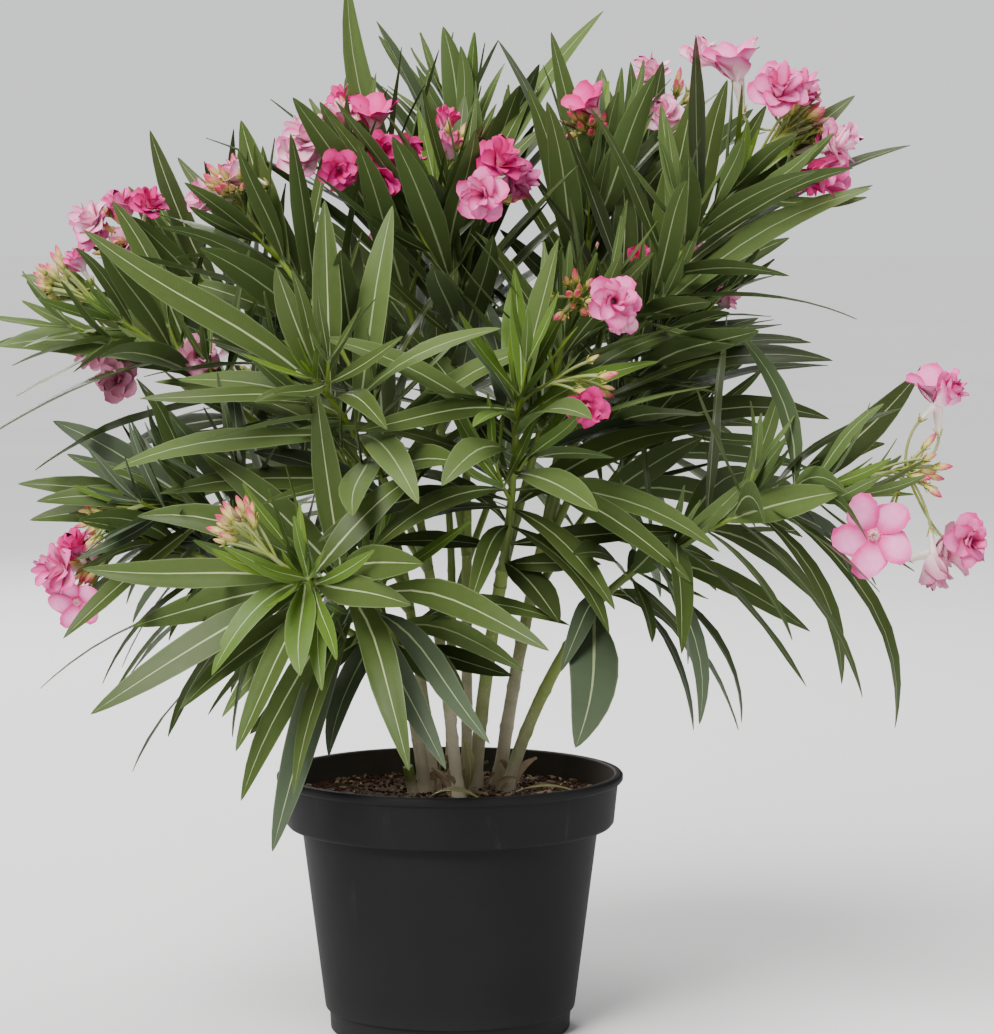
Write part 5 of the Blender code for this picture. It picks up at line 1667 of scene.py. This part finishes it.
def step_to(profile):
    """Extrudes the selected face through a profile of radius and height pairs, by moves and scaling."""
    for (radius, height), (next_radius, next_height) in zip(profile, profile[1:]):
        move = {"value": (0, 0, next_height - height)}
        bpy.ops.mesh.extrude_region_move(TRANSFORM_OT_translate=move)
        ratio = next_radius / radius
        bpy.ops.transform.resize(value=(ratio, ratio, 1), center_override=(0, 0, next_height))


def outward():
    bpy.ops.mesh.select_all(action="SELECT")
    bpy.ops.mesh.normals_make_consistent(inside=False)
    bpy.ops.object.mode_set(mode="OBJECT")


class OLEANDER_OT_pot(Operator):
    """Model the nursery pot: foot ring, tapering body, collar with a rolled lip, drain holes"""

    bl_idname = "oleander.pot"
    bl_label = "Pot"

    def execute(self, context):
        size = settings().pot
        top, wall = size.height, size.wall
        rim, collar = size.rim_radius, size.collar_foot_radius
        collar_foot = top - size.collar_height
        lip_foot = top - size.lip_height
        collar_top = rim - size.lip_stand_out
        foot_radius = size.base_radius - size.foot_inset
        ledge = foot_radius + size.foot_inset * 1.3
        profile = (
            (foot_radius - 0.0015, 0.0),
            (foot_radius, 0.0012),
            (foot_radius + 0.0006, size.foot_height),
            (ledge, size.foot_height + 0.0008),
            (ledge + 0.0004, size.foot_height + 0.0024),
            (size.body_top_radius, collar_foot),
            (collar - 0.0018, collar_foot),
            (collar, collar_foot + 0.0022),
            (collar_top, lip_foot - 0.0008),
            (rim - 0.0009, lip_foot),
            (rim, lip_foot + 0.0012),
            (rim, top - 0.0014),
            (rim - 0.0011, top),
            (collar_top - wall + 0.0008, top),
            (collar_top - wall, top - 0.0008),
            (collar - wall, collar_foot + wall),
            (size.body_top_radius - wall, collar_foot + wall),
            (size.base_radius - wall, POT_FLOOR),
        )
        pot = disc("nursery_pot", POT_SIDES, profile[0][0])
        step_to(profile)
        outward()
        fresh_start()
        for hole in range(size.drain_holes):
            turn = TURN * (hole + 0.5) / size.drain_holes
            place = (cos(turn) * DRAIN_RING, sin(turn) * DRAIN_RING, 0)
            bpy.ops.mesh.primitive_cylinder_add(
                vertices=DRAIN_SIDES, radius=size.drain_radius, depth=DRAIN_CUT, location=place
            )
            cutter = context.object
            cut = pot.modifiers.new("Drain", "BOOLEAN")
            cut.operation = "DIFFERENCE"
            cut.object = cutter
            fresh_start()
            pot.select_set(True)
            apply_all(pot)
            bpy.data.objects.remove(cutter)
        round_edges = pot.modifiers.new("Round", "BEVEL")
        round_edges.width = EDGE_ROUNDING
        round_edges.segments = 2
        round_edges.angle_limit = radians(POT_SHARP_ANGLE)
        apply_all(pot)
        pot.select_set(True)
        bpy.ops.object.shade_smooth_by_angle(angle=radians(POT_SHARP_ANGLE))
        pot.data.materials.append(pot_paint("black_plastic", shade("plastic"), collar_foot))
        seat(pot, ["pot"])
        return {"FINISHED"}


def soil_height(x, y, size):
    """The uneven surface of the soil: highest round the canes, lower against the wall."""
    radius = hypot(x, y)
    edge = size.collar_foot_radius - size.wall
    drop = SOIL_EDGE_DROP * max(0.0, (radius - SOIL_FLAT) / (edge - SOIL_FLAT))
    lumps = 0
    for layer, (fineness, height) in enumerate(SOIL_LUMPS):
        lumps += noise.noise(Vector((x, y, layer)) * fineness) * height
    return size.soil_level - drop + (lumps - SOIL_SETTLING) * MM


class OLEANDER_OT_soil(Operator):
    """Model the potting mix: an uneven surface that is a little lower against the wall, and its body below"""

    bl_idname = "oleander.soil"
    bl_label = "Potting mix"

    def execute(self, context):
        size = settings().pot
        collar_foot = size.height - size.collar_height
        edge = size.collar_foot_radius - size.wall + SOIL_OVERLAP
        bottom = size.base_radius - size.wall - 2 * GAP
        neck = size.body_top_radius - size.wall - 2 * GAP
        low = POT_FLOOR + GAP
        step = collar_foot + size.wall + GAP
        side = size.soil_level - SOIL_SKIRT
        soil = disc("potting_mix", SOIL_SIDES, bottom, low)
        step_to(((bottom, low), (neck, step), (edge - 3 * GAP, step), (edge, side), (edge, side + SOIL_RIM)))
        ring = edge
        while ring > SOIL_STEP * 2:
            bpy.ops.mesh.inset(thickness=SOIL_STEP)
            ring -= SOIL_STEP
        bpy.ops.mesh.poke()
        outward()
        for vert in soil.data.vertices:
            if vert.co.z > side + 0.001:
                vert.co.z = soil_height(vert.co.x, vert.co.y, size)
        soil.select_set(True)
        bpy.ops.object.shade_smooth_by_angle(angle=radians(60))
        soil.data.materials.append(soil_paint("moist_peat", shade("peat")))
        seat(soil, ["soil"])
        return {"FINISHED"}


def lump(pile, place, size, turn, dice, length):
    """A crumb or chip: an uneven eight-cornered lump."""
    way = Vector((cos(turn), sin(turn), dice.uniform(-LUMP_TILT, LUMP_TILT))).normalized()
    half = np.array(way) * size * length
    line = [np.array(place) - half, np.array(place), np.array(place) + half]
    radii = [size * dice.uniform(*play) for play in LUMP_RADII]
    ways = np.repeat(np.array(way)[None], 3, axis=0)
    twist = dice.uniform(-LUMP_TWIST, LUMP_TWIST)
    turned_skin(pile, line, ways, radii, LUMP_SIDES, (0, 0.5, 1), twist=twist)


class OLEANDER_OT_litter(Operator):
    """Scatter crumbs, pale chips, dry sheaths and dead leaves over the soil"""

    bl_idname = "oleander.litter"
    bl_label = "Litter"

    def execute(self, context):
        size = settings().pot
        dice = Random(LITTER_SEED)
        crumbs, chips = Pile(), Pile()
        for crumb in range(size.crumbs):
            radius = SOIL_ROOM * sqrt(dice.random())
            turn = dice.uniform(0, TURN)
            x, y = radius * cos(turn), radius * sin(turn)
            pale = dice.random() < PALE_SHARE * (PALE_ON_RIGHT if x > 0 else PALE_ON_LEFT)
            bulk = dice.uniform(*CRUMB_SIZE) * MM
            spot = (x, y, soil_height(x, y, size) + bulk * CRUMB_RISE)
            pile, length = (chips, CHIP_LENGTH) if pale else (crumbs, CRUMB_LENGTH)
            lump(pile, spot, bulk, dice.uniform(0, pi), dice, length)
        seat(crumbs.made("soil_crumbs", soil_paint("crumb_peat", shade("peat"))), ["soil"])
        for cane in CANES.values():
            for strip in range(SHEATHS):
                x, y = ((place + dice.uniform(-SHEATH_ROOM, SHEATH_ROOM)) * MM for place in cane.foot)
                low = Vector((x, y, soil_height(x, y, size)))
                lean = Vector((dice.uniform(-1, 1), dice.uniform(-1, 1), dice.uniform(*SHEATH_RISE)))
                lean.normalize()
                reach = dice.uniform(*SHEATH_LENGTH) * MM
                end = low + lean * reach + UP * 2 * MM
                arc = Arc(low, low + UP * reach * SHEATH_BEND, end)
                face = lean.cross(UP).normalized()
                blade(chips, arc, face, 0.0, reach * SHEATH_WIDTH, 0, dice, SHEATH_FLAT)
        seat(chips.made("bark_chips", chip_paint("dry_fibre", shade("chip"))), ["soil"])
        dead = Pile(LEAF_BANDS)
        for start, bend, end, width in DEAD_LEAVES:
            arc = Arc(in_mm(start), in_mm(bend), in_mm(end))
            band = dice.randrange(LEAF_BANDS)
            blade(dead, arc, UP, DEAD_ROLL, arc.span() * width, band, dice, DEAD_FLAT)
        dead_paint = leaf_paint("dead_leaf", (0.3, 0.27, 0.13), (0.45, 0.36, 0.22))
        seat(dead.made("dead_leaves", dead_paint), nodes=["soil"])
        return {"FINISHED"}


def relief(point, size):
    """Evenly seeded unevenness of bark at a point in space."""
    broad = noise.noise(Vector(point) * BROAD_RELIEF)
    fine = noise.noise(Vector(point) * FINE_RELIEF)
    return 1 + size * (broad + FINE_SHARE * fine)


def limb_skin(pile, arc, start, end, radius_at, knots, sides, band, dice):
    """A cane or bough: it swells at its knots, where three leaves stood, and its bark is uneven."""
    size = settings().plant
    run = arc.span()
    rings = max(5, int((end - start) * run / size.ring_spacing))
    shares = np.linspace(start, end, rings)
    points, ways = bow(arc, shares)
    radii = np.array([radius_at(min(1.0, max(0.0, share))) for share in shares])
    scars = [(knot, dice.uniform(0, TURN)) for knot in knots]
    corners = TURN * np.arange(sides) / sides

    def lobes(ring, rim):
        grown = np.array([relief(point, size.limb_relief) for point in rim])
        for knot, turn in scars:
            away = (shares[ring] - knot) * run
            if abs(away) > KNOT_ROOM:
                continue
            grown += size.node_swelling * KNOT_RING * exp(-((away / KNOT_LENGTH) ** 2))
            swelling = size.node_swelling * exp(-((away / SCAR_LENGTH) ** 2))
            for scar in range(WHORL_LEAVES):
                gap = np.abs((corners - turn - TURN * scar / WHORL_LEAVES + pi) % TURN - pi)
                grown += swelling * np.exp(-((gap / SCAR_WIDTH) ** 2))
        return grown

    along = (shares - start) / (end - start)
    turned_skin(pile, points, ways, radii, sides, along, band, 0.0, lobes)


def knots_along(run, start, end, dice):
    """The shares of a bare limb where leaves once stood."""
    while start < end:
        yield start
        start += dice.uniform(*KNOT_SPACING) * MM / run


class OLEANDER_OT_canes(Operator):
    """Model the canes, with their corky feet, rings of leaf scars and uneven bark"""

    bl_idname = "oleander.canes"
    bl_label = "Canes"

    def execute(self, context):
        canes = Pile(2)
        for name, cane in CANES.items():
            dice = Random(name)
            arc = cane_arc(cane)
            run = arc.span()
            knots = list(knots_along(run, dice.uniform(*FIRST_CANE_KNOT), 1.0, dice))
            band = int(name in GREEN_CANES)
            foot = -PLANTED_DEPTH / run
            limb_skin(canes, arc, foot, 1.0, cane_radius(cane), knots, CANE_FINE_SIDES, band, dice)
        foot, end = (in_mm(place) for place in CANE_STUB)
        arc = Arc(foot, foot.lerp(end, 0.5), end)
        limb_skin(canes, arc, 0, 1, lambda share: STUB_RADIUS, STUB_KNOTS, CANE_FINE_SIDES, 0, Random("stub"))
        paint = bark_paint("cane_bark", shade("cork"), shade("olive_bark"), shade("green_bark"))
        seat(canes.made("canes", paint, 70), CANE_NODES)
        return {"FINISHED"}


def fine_shoot_radius(shoot):
    """A shoot's radius, which meets its cane's at the fork and flares into a cane that it leaves sideways."""
    cane = CANES[shoot.cane]
    rule = shoot_radius(shoot)
    foot = rule(0.0)
    extra = cane.fork_radius * MM - foot if shoot.at == 1.0 else foot * COLLAR_FLARE
    return lambda share: rule(share) + extra * exp(-share / COLLAR_SHARE)


class OLEANDER_OT_boughs(Operator):
    """Model the boughs, the stems that carry the leaves on from them, and the finer twigs"""

    bl_idname = "oleander.boughs"
    bl_label = "Boughs and stems"

    def execute(self, context):
        wood = Pile()
        for name, shoot in SHOOTS.items():
            dice = Random(name + "_wood")
            arc = shoot_arc(shoot)
            run = arc.span()
            knots = [whorl_share(shoot, (whorl + 0.5) / shoot.whorls) for whorl in range(shoot.whorls)]
            knots += knots_along(run, FIRST_BOUGH_KNOT, shoot.bare, dice)
            radius_at = fine_shoot_radius(shoot)
            limb_skin(wood, arc, 0.0, 1.0, radius_at, knots, BOUGH_FINE_SIDES, 0, dice)
        paint = green_wood_paint("green_wood", shade("green_wood"), shade("bright_wood"), shade("olive_bark"))
        seat(wood.made("boughs", paint, 70), BOUGH_NODES + FOLIAGE_NODES)
        twigs = Pile()
        for arc in grown_plant(settings().plant.twigs).twigs:
            stalk(twigs, arc, TWIG_RADIUS, TWIG_TIP_RADIUS, TWIG_FINE_RINGS)
        paint = green_wood_paint("twig_green", shade("bright_wood"), shade("bright_wood"), shade("fresh"))
        seat(twigs.made("twigs", paint))
        return {"FINISHED"}


class OLEANDER_OT_leaves(Operator):
    """Grow the leaves in their whorls, one piece for each tone"""

    bl_idname = "oleander.leaves"
    bl_label = "Leaves"

    def execute(self, context):
        size = settings().plant
        piles = {tone: Pile(LEAF_BANDS) for tone in TONES}
        dice = Random(LEAF_SEED)
        for leaf in grown_plant(size.twigs).leaves:
            band = dice.randrange(LEAF_BANDS)
            blade(piles[leaf.tone], leaf.arc, leaf.face, leaf.roll, leaf.width * size.leaf_width, band, dice)
        for tone, pile in piles.items():
            paint = leaf_paint("leaf_" + tone, shade(tone), shade("rib"))
            seat(pile.made("leaves_" + tone, paint))
        return {"FINISHED"}


BlossomPiles = namedtuple("BlossomPiles", "petals tubes fringes buds sepals stalks withered")


def make_bloom(piles, grown, dice):
    """A bloom: its stalk, sepals, the tube that widens to the throat, the fringe in it, and its petals."""
    bloom = grown.bloom
    reach = bloom.width * MM / 2
    mouth = in_mm(bloom.mouth)
    way = in_mm(bloom.faces).normalized()
    side = level_side(way)
    layers = FORMS[bloom.form]
    throat = reach * THROAT_REACH[bloom.form]
    outer = layers[0]
    _, _, out, up = petal_course(outer)
    depth = (reach - throat) * (up[-1] / out[-1])
    throat_middle = mouth - way * depth
    tube_length = min(reach * TUBE_SHARE + TUBE_EXTRA, (throat_middle - grown.foot).length * TUBE_MOST)
    foot = throat_middle - way * tube_length
    turn_start = dice.uniform(0, TURN)
    petals = piles.petals[bloom.tint]
    for layer in layers:
        offset = turn_start + layer.offset
        for number in range(layer.count):
            turn = offset + TURN * number / layer.count + dice.uniform(-1, 1) * layer.scatter
            spoke = np.array(turned(side, way, turn))
            size = reach * layer.reach * dice.uniform(*PETAL_PLAY)
            start = throat * (OUTER_START if layer is outer else INNER_START)
            petal(petals, np.array(mouth), np.array(way), spoke, layer, size, start, depth, dice)
    line = [foot + way * tube_length * share for share in TUBE_SHARES]
    ways = np.repeat(np.array(way)[None], len(line), axis=0)
    radii = [throat * share for share in TUBE_RADII]
    along = np.linspace(0, 1, len(line))
    turned_skin(piles.tubes, [np.array(point) for point in line], ways, radii, TUBE_SIDES, along)
    length = dice.uniform(*BLOOM_SEPALS) * MM
    sepals(piles.sepals, foot - way * SUNK * MM, way, length, BLOOM_SEPAL_SPREAD, dice)
    pull = (foot - grown.foot).length * STALK_PULL
    arc = Arc(grown.foot, foot - way * pull, foot + way * STALK_ENTRY * MM)
    stalk(piles.stalks, arc, *BLOOM_STALK)
    if bloom.form in ("single", "trumpet"):
        for number in range(PETALS * FRINGE_TEETH):
            turn = turn_start + TURN * (number + 0.5) / (PETALS * FRINGE_TEETH)
            spoke = turned(side, way, turn)
            root = throat_middle + spoke * throat * FRINGE_RING - way * SUNK * MM
            tip = throat_middle + spoke * throat * dice.uniform(*FRINGE_LEAN)
            tip += way * reach * dice.uniform(*FRINGE_REACH)
            points, ways = straight(root, tip, FRINGE_SHARES)
            radii = [radius * MM for radius in FRINGE_RADII]
            turned_skin(piles.fringes, points, ways, radii, FRINGE_SIDES, FRINGE_SHARES)


def make_bud(piles, bud, dice):
    """A rolled bud on its stalk, with its sepals; a few of the smallest have withered."""
    way = (bud.end - bud.start).normalized()
    foot = bud.end - way * bud.length
    bend = bud.start.lerp(foot, 0.5) + UP * (foot - bud.start).length * BUD_STALK_RISE
    stalk(piles.stalks, Arc(bud.start, bend, foot), STALK_RADIUS * SLIM, STALK_RADIUS * STOUT)
    dry = bud.length < BUD_LENGTH * WITHERING_SIZE and dice.random() < WITHERED_SHARE
    pile = piles.withered if dry else piles.buds
    points, ways = straight(foot, bud.end, BUD_SHARES)
    if dry:
        points[2:] += np.array([dice.uniform(-1, 1) for _ in range(3)]) * WITHERED_BEND * MM
    radii = [bud.radius * share * (WITHERED_GIRTH if dry else 1.0) for share in BUD_RADII]
    along = np.array(BUD_SHARES) * min(1.0, bud.length / BUD_LENGTH)  # the smaller a bud, the greener

    def lobes(ring, rim):
        corners = TURN * np.arange(BUD_SIDES) / BUD_SIDES
        return 1 + BUD_FLATNESS * np.cos(corners * 2)

    turned_skin(pile, points, ways, radii, BUD_SIDES, along, 0, BUD_TWIST, lobes)
    pile = piles.withered if dry else piles.sepals
    sepals(pile, foot, way, bud.length * BUD_SEPALS, BUD_SEPAL_SPREAD, dice)


class OLEANDER_OT_blossom(Operator):
    """Grow the blossom: flower stalks, blooms of several forms and tints, buds and spent flowers"""

    bl_idname = "oleander.blossom"
    bl_label = "Blossom"

    def execute(self, context):
        plant = grown_plant(settings().plant.twigs)
        piles = BlossomPiles({tint: Pile() for tint in TINTS}, *(Pile() for _ in range(6)))
        dice = Random(BLOSSOM_SEED)
        for arc in plant.peduncles:
            stalk(piles.stalks, arc, PEDUNCLE_RADIUS * STOUT, PEDUNCLE_RADIUS * SLIM)
        for grown in plant.blooms:
            make_bloom(piles, grown, dice)
        for bud in plant.buds:
            make_bud(piles, bud, dice)
        pale, pink, deep, faded = (shade(tint + "_petal") for tint in TINTS)
        tube, green, withered = shade("tube"), shade("stalk"), shade("withered")
        bud_foot, bud_tip = shade("bud_foot"), shade("bud_tip")
        # Pale hearts are partly the petals' own colour, partly a painted highlight where they cup; the faded
        # tint is partly painted shade.
        edges = (blend(pale, pink, 0.75), blend(pink, deep, 0.45), deep, faded)
        hearts = (blend(pale, tube, 0.75), blend(pale, pink, 0.15), pink, blend(faded, tube, 0.25))
        throats = (blend(pale, pink, 0.6), blend(pink, deep, 0.5), pink, deep)
        for tint, edge, heart, throat in zip(TINTS, edges, hearts, throats):
            paint = petal_paint("petal_" + tint, edge, heart, throat, blend(tube, heart, 0.4))
            seat(piles.petals[tint].made("petals_" + tint, paint, 80))
        cream = blend(tube, bud_foot, 0.25)
        blush = blend(green, bud_tip, 0.35)
        pale_green = blend(green, shade("rib"), 0.5)
        dry = blend(withered, shade("chip"), 0.6)
        for name, pile, paint, sharp_angle in (
            ("corolla_tubes", piles.tubes, tube_paint("corolla_tube", cream, tube, pink), 80),
            ("throat_fringes", piles.fringes, tube_paint("fringe", pink, cream, pink), 60),
            ("buds", piles.buds, bud_paint("bud", bud_foot, bud_tip, pink), 80),
            ("sepals", piles.sepals, stalk_paint("sepal", green, bud_foot, blush), 80),
            ("flower_stalks", piles.stalks, stalk_paint("flower_stalk", green, pale_green, blush), 60),
            ("spent_flowers", piles.withered, stalk_paint("withered", withered, dry, shade("peat")), 60),
        ):
            seat(pile.made(name, paint, sharp_angle))
        return {"FINISHED"}


def hang(name, thing, place, turn):
    holder = bpy.data.objects.new(name, thing)
    holder.location = place
    holder.rotation_euler = turn
    bpy.context.scene.collection.objects.link(holder)
    return holder


def facing(place, aim):
    return (Vector(aim) - Vector(place)).to_track_quat("-Z", "Y").to_euler()


def add_lamp(name, place, aim, width, power, tint):
    lamp = bpy.data.lights.new(name, "AREA")
    lamp.shape = "DISK"
    lamp.size = width
    lamp.energy = power
    lamp.color = tint
    hang(name, lamp, place, facing(place, aim))


def add_sun(place, strength, angle):
    """An even light from one side, which falls on the whole floor alike."""
    sun = bpy.data.lights.new("sun", "SUN")
    sun.energy = strength
    sun.angle = radians(angle)
    hang("sun", sun, place, facing(place, (0, 0, 0)))


class OLEANDER_OT_stage(Operator):
    """Set the stage: a pale floor, soft studio light and the camera"""

    bl_idname = "oleander.stage"
    bl_label = "Stage"

    def execute(self, context):
        floor = disc("studio_floor", FLOOR_SIDES, FLOOR_RADIUS)
        bpy.ops.mesh.inset(thickness=FLOOR_RADIUS / 2)
        bpy.ops.object.mode_set(mode="OBJECT")
        floor.data.materials.append(floor_paint("pale_floor", shade("floor")))
        world = bpy.data.worlds.new("studio")
        world.use_nodes = True
        nodes, links = world.node_tree.nodes, world.node_tree.links
        background = nodes["Background"]
        background.inputs["Color"].default_value = (*WORLD_COLOUR, 1)
        seen = nodes.new("ShaderNodeMapRange")
        seen.inputs["To Min"].default_value = WORLD_LIGHT
        seen.inputs["To Max"].default_value = WORLD_SEEN
        links.new(nodes.new("ShaderNodeLightPath").outputs["Is Camera Ray"], seen.inputs["Value"])
        links.new(seen.outputs["Result"], background.inputs["Strength"])
        context.scene.world = world
        for lamp in LAMPS:
            add_lamp(*lamp)
        add_sun(*SUN)
        camera = bpy.data.cameras.new("view")
        camera.sensor_width = CAMERA_SENSOR
        camera.lens = CAMERA_FOCUS
        camera.clip_end = CAMERA_REACH
        turn = (radians(90 + CAMERA_PITCH), 0, 0)
        context.scene.camera = hang("view", camera, CAMERA_PLACE, turn)
        return {"FINISHED"}


OPERATORS = (
    OLEANDER_OT_pot,
    OLEANDER_OT_soil,
    OLEANDER_OT_litter,
    OLEANDER_OT_canes,
    OLEANDER_OT_boughs,
    OLEANDER_OT_leaves,
    OLEANDER_OT_blossom,
    OLEANDER_OT_stage,
)


class OLEANDER_PT_panel(Panel):
    """The settings of the potted oleander and a button for each of its pieces"""

    bl_idname = "OLEANDER_PT_panel"
    bl_label = "Potted Oleander"
    bl_space_type = "VIEW_3D"
    bl_region_type = "UI"
    bl_category = "Oleander"

    def draw(self, context):
        for group in (settings().pot, settings().plant, settings().colours):
            box = self.layout.box()
            for name in group.__annotations__:
                box.prop(group, name)
        for operator in OPERATORS:
            self.layout.operator(operator.bl_idname)


CLASSES = (PotSizes, PlantSizes, PlantColours, PlantSettings, *OPERATORS, OLEANDER_PT_panel)


def register():
    for kind in CLASSES:
        bpy.utils.register_class(kind)
    bpy.types.Scene.oleander = PointerProperty(type=PlantSettings)


def unregister():
    del bpy.types.Scene.oleander
    for kind in reversed(CLASSES):
        bpy.utils.unregister_class(kind)


def main():
    register()
    bpy.ops.oleander.pot()
    bpy.ops.oleander.soil()
    bpy.ops.oleander.litter()
    bpy.ops.oleander.canes()
    bpy.ops.oleander.boughs()
    bpy.ops.oleander.leaves()
    bpy.ops.oleander.blossom()
    bpy.ops.oleander.stage()


if __name__ == "__main__":
    main()
